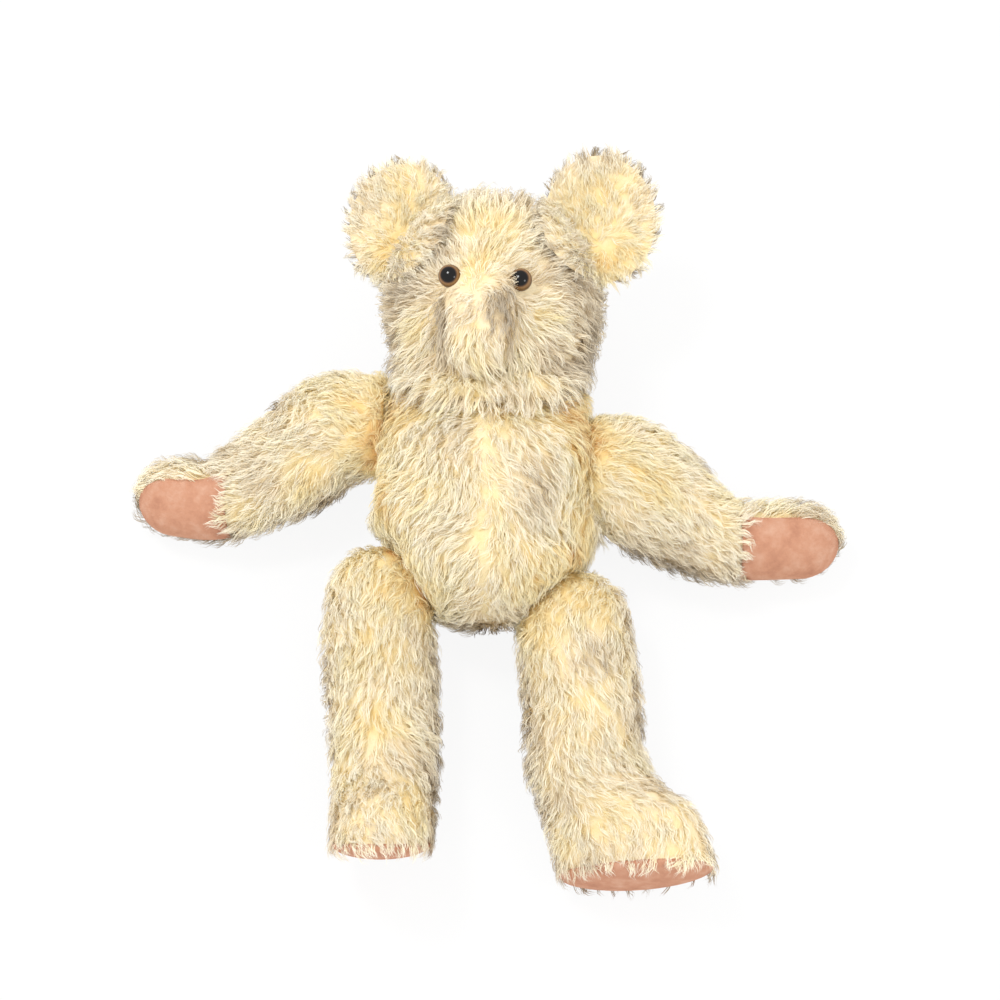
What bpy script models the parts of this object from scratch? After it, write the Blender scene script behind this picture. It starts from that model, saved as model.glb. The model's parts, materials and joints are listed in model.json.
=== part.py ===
"""A five-way jointed mohair teddy bear, lying on its back with its head towards +Y.

The origin is where its back touches the table. +Z is the way its front faces and +X is its own left side.
Everything is in metres. Covers, pads and stuffing are lofts of oval rings, pressed flat where pieces meet.
The head and limbs each turn on a disc joint: two hardboard discs, two washers and a cotter pin.
"""

import math

import bmesh
import bpy
import numpy as np
from mathutils import Matrix, Vector

# Cloth, stuffing and clearances
COVER_WALL = 0.003
FELT_INSET = 0.001
SEAM_DIP = 0.0014
STUFFING_GAP = 0.0008
FIT_GAP = 0.0003
JOINT_GAP = 0.0003
POCKET_GAP = 0.0006

# Joint hardware
DISC_THICKNESS = 0.003
NECK_DISC_RADIUS = 0.022
ARM_DISC_RADIUS = 0.0175
LEG_DISC_RADIUS = 0.018
WASHER_THICKNESS = 0.001
WASHER_RADIUS = 0.0085
PIN_WIRE = 0.002
PIN_LEG_GAP = 0.0004
PIN_EYE_RADIUS = 0.0034
PIN_CURL_RADIUS = 0.0028
PIN_CURL_TURN = math.radians(215)

# Torso, measured from its seat on the table: each ring's middle, then its half width and half depth
TORSO_CHEST_HALF = 0.067
TORSO_RUMP_HALF = 0.058
TORSO_RUMP_DEPTH = 0.056
TORSO_RUMP_PLACE = (0.003, -0.030, 0.053)
TORSO_RINGS = (
    (*TORSO_RUMP_PLACE, TORSO_RUMP_HALF, TORSO_RUMP_DEPTH),
    (0.001, -0.009, 0.058, 0.0660, 0.061),
    (0.000, 0.018, 0.058, 0.0675, 0.061),
    (0.001, 0.044, 0.054, TORSO_CHEST_HALF, 0.056),
    (0.003, 0.063, 0.052, 0.0665, 0.051),
)
TORSO_RUMP_CAP = 0.0365
TORSO_NECK_CAP = 0.024

# Neck joint and head: the face looks along the head's own +Z, and its crown is at +Y
NECK_TILT = math.radians(6)
NECK_PRESS = 0.008
HEAD_NOD = math.radians(18)
HEAD_TURN = math.radians(-7)
HEAD_LEAN = math.radians(-1.5)
HEAD_PRESS = 0.007
HEAD_HALF_HEIGHT = 0.065
HEAD_RINGS = (
    (0.000, -0.003, -0.024, 0.0610, 0.0645),
    (0.000, 0.000, 0.000, 0.0630, HEAD_HALF_HEIGHT),
    (0.000, -0.001, 0.020, 0.0600, 0.0610),
    (0.000, -0.003, 0.033, 0.0490, 0.0530),
    (0.000, -0.007, 0.043, 0.0350, 0.0420),
    (0.000, -0.009, 0.053, 0.0260, 0.0300),
    (0.000, -0.009, 0.064, 0.0220, 0.0240),
)
HEAD_BACK_CAP = 0.0437
MUZZLE_CAP = 0.010

# Ears, set on the head's upper corners and cupped forwards: places from the middle of the face, then half sizes
RIGHT_EAR_PLACE = (-0.058, 0.050, -0.004)
RIGHT_EAR_SIZE = (0.033, 0.035)
LEFT_EAR_PLACE = (0.066, 0.053, -0.004)
LEFT_EAR_SIZE = (0.0325, 0.0375)
EAR_HALF_THICKNESS = 0.0045
EAR_CUP = 0.009
EAR_SPLAY = math.radians(14)

# Eyes
EYE_RADIUS = 0.0065
EYE_HEIGHT = 0.0052
EYE_SEAT = 0.0016
EYE_OUT = 0.0212
EYE_UP = 0.0100
SHANK_WIRE = 0.0012
SHANK_SOCKET = 0.002
SHANK_LENGTH = 0.013
SHANK_LOOP_RADIUS = 0.0022

# Arms: each ring's place outwards, up the body and above the shoulder pin, then its half sizes
SHOULDER_PRESS = 0.007
SHOULDER_DISH = 0.046
SHOULDER_HEIGHT = 0.053
RIGHT_SHOULDER_UP = 0.049
RIGHT_ARM_RINGS = (
    (0.008, 0.009, 0.001, 0.033, 0.029),
    (0.031, 0.008, -0.005, 0.0345, 0.030),
    (0.054, -0.008, -0.010, 0.032, 0.029),
    (0.083, -0.022, -0.019, 0.0275, 0.025),
    (0.105, -0.029, -0.025, 0.0245, 0.022),
    (0.127, -0.026, -0.029, 0.024, 0.021),
)
LEFT_SHOULDER_UP = 0.036
LEFT_ARM_RINGS = (
    (0.008, -0.007, 0.001, 0.035, 0.029),
    (0.024, -0.011, -0.004, 0.038, 0.030),
    (0.046, -0.024, -0.010, 0.0345, 0.029),
    (0.071, -0.038, -0.019, 0.0275, 0.025),
    (0.096, -0.043, -0.025, 0.0235, 0.022),
    (0.130, -0.041, -0.029, 0.0235, 0.021),
)
ARM_ROOT_CAP = 0.024
PAW_CAP = 0.026
PAD_REACH = 0.091
PAD_FACING = (0.0, -0.75, 0.66)
RIGHT_PAD_SEAM = 0.009
LEFT_PAD_SEAM = 0.006

# Legs: each ring's place outwards, up the body and above the hip pin, then its half sizes across and heel to toe
HIP_PRESS = 0.010
HIP_DROP = 0.007
RIGHT_HIP_SLOPE = math.radians(33)
RIGHT_HIP_SLIDE = 0.003
RIGHT_LEG_RINGS = (
    (0.0181, -0.0074, -0.004, 0.0315, 0.032),
    (0.0191, -0.0334, -0.007, 0.0320, 0.032),
    (0.0176, -0.0694, -0.009, 0.0310, 0.031),
    (0.0156, -0.0994, -0.011, 0.0295, 0.030),
    (0.0151, -0.1224, -0.009, 0.0285, 0.032),
    (0.0151, -0.1404, -0.002, 0.0290, 0.041),
    (0.0156, -0.1574, 0.002, 0.0290, 0.045),
)
RIGHT_TOE_TURN = math.radians(0)
RIGHT_SOLE_LEAN = math.radians(15)
LEFT_HIP_SLOPE = math.radians(45)
LEFT_HIP_SLIDE = -0.005
LEFT_LEG_RINGS = (
    (0.0129, -0.0124, -0.004, 0.0350, 0.033),
    (0.0159, -0.0379, -0.007, 0.0350, 0.033),
    (0.0190, -0.0649, -0.009, 0.0350, 0.032),
    (0.0199, -0.0929, -0.011, 0.0345, 0.032),
    (0.0270, -0.1129, -0.012, 0.0310, 0.036),
    (0.0410, -0.1309, -0.012, 0.0290, 0.045),
    (0.0480, -0.1600, -0.012, 0.0290, 0.047),
)
LEFT_TOE_TURN = math.radians(66)
LEFT_SOLE_LEAN = math.radians(0)
THIGH_CAP = 0.029
SOLE_CAP = 0.010
SOLE_RIM = 0.001

# How finely the surfaces are divided
SKIN_SIDES = 24
SKIN_SPACING = 0.0125
INNER_SIDES = 16
INNER_SPACING = 0.020
CAP_STEPS = 3
DISC_STEPS = 16
WASHER_STEPS = 12
BLOCK_SIZE = 0.22


def collection(name):
    made = bpy.data.collections.new(name)
    bpy.context.scene.collection.children.link(made)
    return made


def finish(name, colour, roughness, metallic=0.0):
    """A material with one Principled surface; the colour is linear."""
    made = bpy.data.materials.new(name)
    made.use_nodes = True
    made.diffuse_color = (*colour, 1.0)
    surface = made.node_tree.nodes["Principled BSDF"]
    surface.inputs["Base Color"].default_value = (*colour, 1.0)
    surface.inputs["Roughness"].default_value = roughness
    surface.inputs["Metallic"].default_value = metallic
    return made


for old in list(bpy.data.objects):
    bpy.data.objects.remove(old, do_unlink=True)
BEAR = collection("teddy_bear")
CUTTERS = collection("cutters")
MOHAIR = finish("mohair_pile", (0.83, 0.72, 0.47), 0.95)
FELT = finish("woollen_felt", (0.66, 0.32, 0.21), 0.95)
WOOD_WOOL = finish("wood_wool", (0.52, 0.40, 0.22), 0.9)
HARDBOARD = finish("hardboard", (0.22, 0.12, 0.06), 0.75)
STEEL = finish("plated_steel", (0.56, 0.55, 0.52), 0.35, 1.0)
EYE_GLASS = finish("amber_glass", (0.10, 0.035, 0.012), 0.05)


def unit(vector):
    vector = np.asarray(vector, float)
    return vector / np.linalg.norm(vector, axis=-1, keepdims=True)


def turned_to(axis, origin):
    """The matrix of a frame whose +Z lies along the axis."""
    spin = Vector(axis).to_track_quat("Z", "Y").to_matrix().to_4x4()
    return Matrix.Translation(Vector(origin)) @ spin


class Joint:
    """A disc joint: its frame has its origin between the two covers and +Z from the torso to the limb."""

    def __init__(self, name, centre, axis, disc_radius):
        self.name = name
        self.centre = np.array(centre, float)
        self.axis = unit(axis)
        self.disc_radius = disc_radius
        self.matrix = turned_to(self.axis, self.centre)
        self.empty = bpy.data.objects.new(f"{name}_joint", None)
        self.empty.empty_display_size = disc_radius
        self.empty.matrix_basis = self.matrix
        BEAR.objects.link(self.empty)


def add(name, data, matrix, material=None, joint=None):
    """A new object, held by its joint's empty where it moves; one with no material is a cutter."""
    made = bpy.data.objects.new(name, data)
    made.matrix_basis = matrix
    if joint is not None:
        made.parent = joint.empty
        made.matrix_parent_inverse = joint.matrix.inverted()
    if material is None:
        made.hide_render = True
        made.display_type = "WIRE"
        CUTTERS.objects.link(made)
    else:
        data.materials.append(material)
        BEAR.objects.link(made)
    return made


def cut(target, cutter, operation="DIFFERENCE"):
    step = target.modifiers.new(f"{operation.lower()}_{cutter.name}", "BOOLEAN")
    step.operation = operation
    step.object = cutter


def eased(table, count):
    """Reads a table at evenly spread places, on cubic pieces that pass through every row with no corner."""
    table = np.array(table, float)
    slopes = np.gradient(table, axis=0)
    places = np.linspace(0, len(table) - 1, count)
    left = np.minimum(places.astype(int), len(table) - 2)
    t = (places - left)[:, None]
    starts = (2 * t**3 - 3 * t**2 + 1) * table[left] + (t**3 - 2 * t**2 + t) * slopes[left]
    ends = (3 * t**2 - 2 * t**3) * table[left + 1] + (t**3 - t**2) * slopes[left + 1]
    return starts + ends


def loft(name, rings, caps, facing, inset, along=None, leans=None, seams=()):
    """A closed form: oval rings along a smooth line through the table's places, with a domed cap at each end.

    A ring's point is its middle plus half its width times the cosine of an angle to one side, plus half its
    depth times the sine towards the facing. An inset takes the same width off every half size and both caps.
    A lean slides a ring's points along the line, by that share of their distance towards the facing. A seam
    is a number of the ring's corners that dips into the skin.
    """
    skin = inset < COVER_WALL
    sides = SKIN_SIDES if skin else INNER_SIDES
    table = np.array(rings, float)
    length = np.linalg.norm(np.diff(table[:, :3], axis=0), axis=1).sum()
    count = max(len(table), math.ceil(length / (SKIN_SPACING if skin else INNER_SPACING)))
    if leans is not None:
        table = np.column_stack([table, leans])
    rows = eased(table, count)
    line = np.gradient(rows[:, :3], axis=0) if along is None else np.tile(np.array(along, float), (count, 1))
    line = unit(line)
    facing = np.array(facing, float)
    depth_way = unit(facing - (line @ facing)[:, None] * line)
    width_way = np.cross(line, depth_way)

    swing = np.linspace(0, math.pi / 2, CAP_STEPS + 1)[1:]
    row = np.r_[np.zeros(CAP_STEPS, int), np.arange(count), np.full(CAP_STEPS, count - 1)]
    size = np.r_[np.cos(swing)[::-1], np.ones(count), np.cos(swing)]
    reach = np.r_[-np.sin(swing)[::-1] * (caps[0] - inset), np.zeros(count), np.sin(swing) * (caps[1] - inset)]
    angle = np.arange(sides) * 2 * math.pi / sides
    dip = np.zeros(sides)
    if skin:
        dip[list(seams)] = SEAM_DIP
    wide = size[:, None] * (rows[row, 3, None] - inset - dip) * np.cos(angle)
    deep = size[:, None] * (rows[row, 4, None] - inset - dip) * np.sin(angle)
    slide = reach[:, None] + (deep * rows[row, 5, None] if leans is not None else 0)
    middle = rows[row, :3][:, None]
    points = (
        middle
        + wide[..., None] * width_way[row][:, None]
        + deep[..., None] * depth_way[row][:, None]
        + slide[..., None] * line[row][:, None]
    )

    bands = points[1:-1]
    corners = np.arange(bands.shape[0] * sides).reshape(-1, sides)
    first_pole = corners.size
    last_pole = first_pole + 1
    ahead = np.roll(corners, -1, axis=1)
    quads = np.stack([corners[:-1], ahead[:-1], ahead[1:], corners[1:]], axis=-1).reshape(-1, 4)
    start_fan = [(first_pole, b, a) for a, b in zip(corners[0], ahead[0])]
    end_fan = [(last_pole, a, b) for a, b in zip(corners[-1], ahead[-1])]
    mesh = bpy.data.meshes.new(name)
    spots = [*bands.reshape(-1, 3), points[0, 0], points[-1, 0]]
    mesh.from_pydata(spots, [], [*quads.tolist(), *start_fan, *end_fan])
    shell = bmesh.new()
    shell.from_mesh(mesh)
    bmesh.ops.recalc_face_normals(shell, faces=shell.faces)
    shell.to_mesh(mesh)
    shell.free()
    mesh.shade_smooth()
    return mesh


def block(name, point, normal, inset, second=None):
    """A large cutting block that fills the space beyond a plane pushed back by the inset.

    With a second normal it fills only the corner that lies beyond both planes.
    """
    outward = unit(normal)
    middle = np.array(point, float) + (BLOCK_SIZE / 2 - inset) * outward
    frame = Vector(outward).to_track_quat("Z", "Y").to_matrix()
    if second is not None:
        side = unit(second - (outward @ np.array(second, float)) * outward)
        middle += (BLOCK_SIZE / 2 - inset) * side
        frame = Matrix((side, np.cross(outward, side), outward)).transposed()
    mesh = bpy.data.meshes.new(name)
    shape = bmesh.new()
    bmesh.ops.create_cube(shape, size=BLOCK_SIZE)
    shape.to_mesh(mesh)
    shape.free()
    return add(name, mesh, Matrix.Translation(Vector(middle)) @ frame.to_4x4())


def turned(name, profile, steps, matrix, material=None, joint=None, closed=True):
    """A turned shape: the profile's (radius, height) points spun round +Z."""
    mesh = bpy.data.meshes.new(name)
    edges = [(i, i + 1) for i in range(len(profile) - 1)]
    if closed:
        edges.append((len(profile) - 1, 0))
    mesh.from_pydata([(radius, 0.0, height) for radius, height in profile], edges, [])
    made = add(name, mesh, matrix, material, joint)
    screw = made.modifiers.new("spin", "SCREW")
    screw.steps = screw.render_steps = steps
    screw.use_merge_vertices = True
    screw.merge_threshold = 0.00001
    screw.use_smooth_shade = False
    return made


def wire(name, points, thickness, matrix, material, joint):
    """A bent wire: a poly spline with a round section and closed ends."""
    data = bpy.data.curves.new(name, "CURVE")
    data.dimensions = "3D"
    data.bevel_depth = thickness / 2
    data.bevel_resolution = 0
    data.use_fill_caps = True
    spline = data.splines.new("POLY")
    spline.points.add(len(points) - 1)
    for spot, place in zip(spline.points, points):
        spot.co = (*place, 1.0)
    return add(name, data, matrix, material, joint)


# Heights in a joint's stack, measured from the middle of the gap between its two covers
DISC_BASE = JOINT_GAP / 2 + COVER_WALL + FIT_GAP
DISC_TOP = DISC_BASE + DISC_THICKNESS
WASHER_BASE = DISC_TOP + FIT_GAP
WASHER_TOP = WASHER_BASE + WASHER_THICKNESS
PIN_LEG_OUT = (PIN_WIRE + PIN_LEG_GAP) / 2
PIN_BORE = PIN_LEG_OUT + PIN_WIRE / 2 + FIT_GAP
EYE_MIDDLE = WASHER_TOP + FIT_GAP + PIN_WIRE / 2 + math.sqrt(PIN_EYE_RADIUS**2 - PIN_LEG_OUT**2)
CURL_MIDDLE = WASHER_TOP + FIT_GAP + PIN_WIRE / 2 + PIN_CURL_RADIUS
POCKET_TOP = max(EYE_MIDDLE + PIN_EYE_RADIUS, CURL_MIDDLE + PIN_CURL_RADIUS) + PIN_WIRE / 2 + POCKET_GAP
NARROW_POCKET = max(WASHER_RADIUS, PIN_LEG_OUT + 2 * PIN_CURL_RADIUS + PIN_WIRE / 2) + POCKET_GAP


def cotter_pin_points():
    """The pin's middle line: a curl, a leg, the eye, the other leg and its curl, in the joint frame's XZ plane."""
    curl = math.pi + np.linspace(0, PIN_CURL_TURN, 8)
    horn = np.column_stack(
        [
            PIN_LEG_OUT + PIN_CURL_RADIUS * (1 + np.cos(curl)),
            np.zeros(len(curl)),
            -CURL_MIDDLE + PIN_CURL_RADIUS * np.sin(curl),
        ]
    )
    opening = math.asin(PIN_LEG_OUT / PIN_EYE_RADIUS)
    loop = np.linspace(opening - math.pi / 2, 1.5 * math.pi - opening, 13)
    eye = np.column_stack(
        [PIN_EYE_RADIUS * np.cos(loop), np.zeros(len(loop)), EYE_MIDDLE + PIN_EYE_RADIUS * np.sin(loop)]
    )
    other_horn = horn * (-1, 1, 1)
    return np.vstack([horn[::-1], eye, other_horn])


def ring_profile(bore, radius, base, top):
    return [(bore, top), (radius, top), (radius, base), (bore, base)]


def fit_joint(joint):
    """The hardware of one joint: the limb's disc and washer turn with the limb, the rest stays with the torso."""
    disc = ring_profile(PIN_BORE, joint.disc_radius, DISC_BASE, DISC_TOP)
    washer = ring_profile(PIN_BORE, WASHER_RADIUS, WASHER_BASE, WASHER_TOP)
    turned(f"{joint.name}_limb_disc", disc, DISC_STEPS, joint.matrix, HARDBOARD, joint)
    turned(f"{joint.name}_limb_washer", washer, WASHER_STEPS, joint.matrix, STEEL, joint)
    flipped = joint.matrix @ Matrix.Rotation(math.pi, 4, "X")
    turned(f"{joint.name}_torso_disc", disc, DISC_STEPS, flipped, HARDBOARD)
    turned(f"{joint.name}_torso_washer", washer, WASHER_STEPS, flipped, STEEL)
    wire(f"{joint.name}_cotter_pin", cotter_pin_points(), PIN_WIRE, joint.matrix, STEEL, None)


def joint_bore(joint):
    """The cutter for the pin's hole through both covers."""
    reach = JOINT_GAP / 2 + 2 * COVER_WALL
    profile = [(0, reach), (PIN_BORE, reach), (PIN_BORE, -reach), (0, -reach)]
    return turned(f"{joint.name}_bore", profile, WASHER_STEPS, joint.matrix, closed=False)


def joint_pocket(joint):
    """The cutter for the room that the discs, washers and pin take in the stuffing on both sides."""
    wide = joint.disc_radius + POCKET_GAP
    shoulder = DISC_TOP + POCKET_GAP
    half = [(0, POCKET_TOP), (NARROW_POCKET, POCKET_TOP), (NARROW_POCKET, shoulder), (wide, shoulder)]
    profile = half + [(radius, -height) for radius, height in reversed(half)]
    return turned(f"{joint.name}_pocket", profile, DISC_STEPS, joint.matrix, closed=False)


class Form:
    """A stuffed form: its cover, the core taken out of the cover and its stuffing all come from one loft."""

    def __init__(self, name, matrix, joint, **shape):
        self.name = name
        self.matrix = matrix
        self.joint = joint
        self.shape = shape
        self.cover = self.solid(f"{name}_cover", 0.0, MOHAIR)
        self.core = self.solid(f"{name}_core", COVER_WALL)
        cut(self.cover, self.core)
        self.stuffing = self.solid(f"{name}_stuffing", COVER_WALL + STUFFING_GAP, WOOD_WOOL)

    def solid(self, name, inset, material=None):
        mesh = loft(name, inset=inset, **self.shape)
        return add(name, mesh, self.matrix, material, self.joint if material else None)

    def press(self, name, point, normal, gap=0.0, dish=None):
        """Flattens the form at a plane, with its wall and stuffing behind, or only inside a round dish there."""
        behind = COVER_WALL + STUFFING_GAP
        for piece, inset in ((self.cover, 0.0), (self.core, COVER_WALL), (self.stuffing, behind)):
            label = f"{name}_{piece.name}_press"
            if dish is None:
                cut(piece, block(label, point, normal, gap + inset))
                continue
            floor = -gap - inset
            profile = [(0, BLOCK_SIZE), (dish + inset, BLOCK_SIZE), (dish + inset, floor), (0, floor)]
            cut(piece, turned(label, profile, SKIN_SIDES, turned_to(normal, point), closed=False))

    def press_joint(self, joint, outward, dish=None):
        """The flat that meets the other cover at a joint, with the pin's hole and the hardware's room."""
        self.press(joint.name, joint.centre, outward, JOINT_GAP / 2, dish)
        cut(self.cover, joint.bore)
        cut(self.stuffing, joint.pocket)

    def pad(self, name, point, normal, second=None):
        """A felt panel in the cover: it fills the space beyond the planes, a little under the pile."""
        made = self.solid(name, FELT_INSET, FELT)
        cut(made, self.core)
        cut(made, block(f"{name}_panel", point, normal, 0.0, second), "INTERSECT")
        cut(self.cover, block(f"{name}_opening", point, normal, FIT_GAP, second))


def rump_facet(outward, press):
    """The middle of the flat that a press leaves on the rump, half of an ellipsoid, dropped towards the table.

    For half sizes (a, b) and a direction (x, y), the flat lies at h - press along it, where h is the length of
    (ax, by), and its middle is (aax, bby) times (h - press) / hh from the ellipsoid's middle.
    """
    squares = np.array([TORSO_RUMP_HALF, TORSO_RUMP_CAP]) ** 2
    height = math.sqrt(squares @ outward[:2] ** 2)
    away = squares * outward[:2] * (height - press) / height**2
    return np.array(TORSO_RUMP_PLACE) + (*away, -HIP_DROP)


def neck_joint():
    top = np.array(TORSO_RINGS[-1][:3]) + (0, TORSO_NECK_CAP - NECK_PRESS, 0)
    return Joint("neck", top, (0, math.cos(NECK_TILT), math.sin(NECK_TILT)), NECK_DISC_RADIUS)


def shoulder_joint(name, side, up):
    out = TORSO_CHEST_HALF - SHOULDER_PRESS
    return Joint(name, (side * out, up, SHOULDER_HEIGHT), (side, 0, 0), ARM_DISC_RADIUS)


def hip_joint(name, side, slope, slide):
    outward = np.array([side * math.cos(slope), -math.sin(slope), 0])
    up_the_flat = np.array([side * math.sin(slope), math.cos(slope), 0])
    return Joint(name, rump_facet(outward, HIP_PRESS) + slide * up_the_flat, outward, LEG_DISC_RADIUS)


def mirrored(rings, side):
    """A limb's rings with their outward places turned to the given side."""
    return [(side * out, *rest) for out, *rest in rings]


def make_arm(name, joint, side, rings, seam_rise, pad_name):
    """An arm: its paw bends up, and the felt pad fills the facing side of the paw beyond the wrist seam."""
    rings = mirrored(rings, side)
    arm = Form(
        name,
        Matrix.Translation(Vector(joint.centre)),
        joint,
        rings=rings,
        caps=(ARM_ROOT_CAP, PAW_CAP),
        facing=(0, 0, 1),
        seams=(0, SKIN_SIDES // 2),
    )
    arm.press_joint(joint, -joint.axis)
    paw = np.array(rings[-1][:3])
    wrist = np.array(rings[-2][:3])
    way = unit(paw - wrist)
    back = (abs(paw[0]) - PAD_REACH) / abs(way[0])
    facing = unit(np.array(PAD_FACING) - (np.array(PAD_FACING) @ way) * way)
    arm.pad(pad_name, joint.centre + paw - back * way + seam_rise * facing, way, facing)


def make_leg(name, joint, side, rings, toe_turn, sole_lean, pad_name):
    """A leg: it lies along the body, its foot swells towards the toes, and a felt sole closes its end."""
    rings = mirrored(rings, side)
    lean = math.tan(sole_lean)
    toes = np.array([side * math.sin(toe_turn), 0, math.cos(toe_turn)])
    leg = Form(
        name,
        Matrix.Translation(Vector(joint.centre)),
        joint,
        rings=rings,
        caps=(THIGH_CAP, SOLE_CAP),
        facing=toes,
        along=(0, -1, 0),
        leans=[0] * (len(rings) - 2) + [lean / 2, lean],
        seams=(SKIN_SIDES // 4,),
    )
    leg.press_joint(joint, -joint.axis)
    sole = unit(np.array([0, -1, 0]) - lean * toes)
    leg.pad(pad_name, joint.centre + np.array(rings[-1][:3]) + SOLE_RIM * sole, sole)


def head_matrix(joint):
    """The head's frame: its origin on the neck joint, nodded forwards, turned and leant to one side."""
    return Matrix.Translation(Vector(joint.centre)) @ (
        Matrix.Rotation(HEAD_NOD, 4, "X") @ Matrix.Rotation(HEAD_TURN, 4, "Y") @ Matrix.Rotation(HEAD_LEAN, 4, "Z")
    )


def head_rings():
    """The head's rings, raised so that the pressed flat under it meets the neck joint."""
    rise = HEAD_HALF_HEIGHT - HEAD_PRESS
    return [(x, y + rise, z, wide, high) for x, y, z, wide, high in HEAD_RINGS]


def face_height(x, y):
    """How far the face stands out at a place on it: where a ring of the head's own table passes through it."""
    table = eased(head_rings(), 200)
    share = ((x - table[:, 0]) / table[:, 3]) ** 2 + ((y - table[:, 1]) / table[:, 4]) ** 2
    inside = np.flatnonzero(share <= 1)[-1]
    return table[inside, 2]


def make_eye(name, head, side):
    """A glass eye in a shallow seat, on a wire shank that runs through the cover into the stuffing."""
    x = side * EYE_OUT
    y = HEAD_HALF_HEIGHT - HEAD_PRESS + EYE_UP
    step = EYE_RADIUS / 2
    slope_x = (face_height(x + step, y) - face_height(x - step, y)) / (2 * step)
    slope_y = (face_height(x, y + step) - face_height(x, y - step)) / (2 * step)
    seat = head.matrix @ turned_to(unit((-slope_x, -slope_y, 1)), (x, y, face_height(x, y)))
    arc = np.linspace(math.pi / 2, 0, 8)
    dome = [(EYE_RADIUS * math.cos(a), EYE_HEIGHT * math.sin(a)) for a in arc]
    base = FIT_GAP - EYE_SEAT
    socket = SHANK_WIRE / 2 + FIT_GAP
    back = [(EYE_RADIUS, base), (socket, base), (socket, base + SHANK_SOCKET), (0, base + SHANK_SOCKET)]
    turned(name, [*dome, *back], DISC_STEPS, seat, EYE_GLASS, head.joint, closed=False)
    lift = EYE_HEIGHT + EYE_RADIUS
    room = EYE_RADIUS + FIT_GAP
    recess = [(0, lift), (room, lift), (room, -EYE_SEAT), (0, -EYE_SEAT)]
    room_for_glass = turned(f"{name}_recess", recess, DISC_STEPS, seat, closed=False)
    depth = SHANK_LENGTH + 2 * SHANK_LOOP_RADIUS + SHANK_WIRE
    bore = SHANK_LOOP_RADIUS + SHANK_WIRE / 2 + FIT_GAP
    hole = [(0, 0), (bore, 0), (bore, -depth), (0, -depth)]
    room_for_shank = turned(f"{name}_hole", hole, WASHER_STEPS, seat, closed=False)
    for piece in (head.cover, head.stuffing):
        cut(piece, room_for_glass)
        cut(piece, room_for_shank)
    turn = np.linspace(math.pi / 2, -1.35 * math.pi, 10)
    loop = np.column_stack(
        [
            SHANK_LOOP_RADIUS * np.cos(turn),
            np.zeros(len(turn)),
            SHANK_LOOP_RADIUS * (np.sin(turn) - 1) - SHANK_LENGTH,
        ]
    )
    top = (0, 0, base + SHANK_SOCKET - FIT_GAP)
    wire(f"{name}_shank", [top, *loop], SHANK_WIRE, seat, STEEL, head.joint)


def make_ear(name, head, side, place, size, grown_head):
    """An ear: a flat round cushion whose rim curls forwards, cut off where it meets the head."""
    mesh = bpy.data.meshes.new(name)
    shape = bmesh.new()
    bmesh.ops.create_uvsphere(shape, u_segments=18, v_segments=8, radius=1.0)
    for corner in shape.verts:
        x, y, z = corner.co
        curl = EAR_CUP * (x**2 + y**2)
        corner.co = (x * size[0], y * size[1], z * EAR_HALF_THICKNESS + curl)
    shape.to_mesh(mesh)
    shape.free()
    mesh.shade_smooth()
    out, up, ahead = place
    raised = (out, up + HEAD_HALF_HEIGHT - HEAD_PRESS, ahead)
    spot = Matrix.Translation(raised) @ Matrix.Rotation(side * EAR_SPLAY, 4, "Y")
    ear = add(name, mesh, head.matrix @ spot, MOHAIR, head.joint)
    cut(ear, grown_head)


neck = neck_joint()
right_shoulder = shoulder_joint("right_shoulder", -1, RIGHT_SHOULDER_UP)
left_shoulder = shoulder_joint("left_shoulder", 1, LEFT_SHOULDER_UP)
right_hip = hip_joint("right_hip", -1, RIGHT_HIP_SLOPE, RIGHT_HIP_SLIDE)
left_hip = hip_joint("left_hip", 1, LEFT_HIP_SLOPE, LEFT_HIP_SLIDE)
joints = (neck, right_shoulder, left_shoulder, right_hip, left_hip)
for each in joints:
    each.bore = joint_bore(each)
    each.pocket = joint_pocket(each)

torso = Form(
    "torso",
    Matrix.Identity(4),
    None,
    rings=TORSO_RINGS,
    caps=(TORSO_RUMP_CAP, TORSO_NECK_CAP),
    facing=(0, 0, 1),
    along=(0, 1, 0),
    seams=(SKIN_SIDES // 4,),
)
torso.press("table", (0, 0, 0), (0, 0, -1))
for each in joints:
    torso.press_joint(each, each.axis, SHOULDER_DISH if each in (right_shoulder, left_shoulder) else None)
    fit_joint(each)

head = Form(
    "head",
    head_matrix(neck),
    neck,
    rings=head_rings(),
    caps=(HEAD_BACK_CAP, MUZZLE_CAP),
    facing=(0, 1, 0),
    along=(0, 0, 1),
    seams=(SKIN_SIDES // 4 - 3, SKIN_SIDES // 4 + 3, 3 * SKIN_SIDES // 4),
)
head.press_joint(neck, -neck.axis)
grown_head = head.solid("grown_head", -FIT_GAP)
make_ear("right_ear", head, -1, RIGHT_EAR_PLACE, RIGHT_EAR_SIZE, grown_head)
make_ear("left_ear", head, 1, LEFT_EAR_PLACE, LEFT_EAR_SIZE, grown_head)
make_eye("right_eye", head, -1)
make_eye("left_eye", head, 1)

make_arm("right_arm", right_shoulder, -1, RIGHT_ARM_RINGS, RIGHT_PAD_SEAM, "right_paw_pad")
make_arm("left_arm", left_shoulder, 1, LEFT_ARM_RINGS, LEFT_PAD_SEAM, "left_paw_pad")
make_leg("right_leg", right_hip, -1, RIGHT_LEG_RINGS, RIGHT_TOE_TURN, RIGHT_SOLE_LEAN, "right_foot_pad")
make_leg("left_leg", left_hip, 1, LEFT_LEG_RINGS, LEFT_TOE_TURN, LEFT_SOLE_LEAN, "left_foot_pad")
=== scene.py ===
"""The looks of an old, threadbare mohair teddy bear that lies on its back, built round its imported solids.

Everything is in metres, in the frame of the solids: +Z is the way the tummy faces, +Y is towards the head
and +X is the bear's own left. Each section is one part of the toy: its sizes, its shape, its finish and the
body that it rides on.
"""

import json
import math

import bmesh
import bpy
import numpy as np
from mathutils import Matrix, Vector


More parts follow.
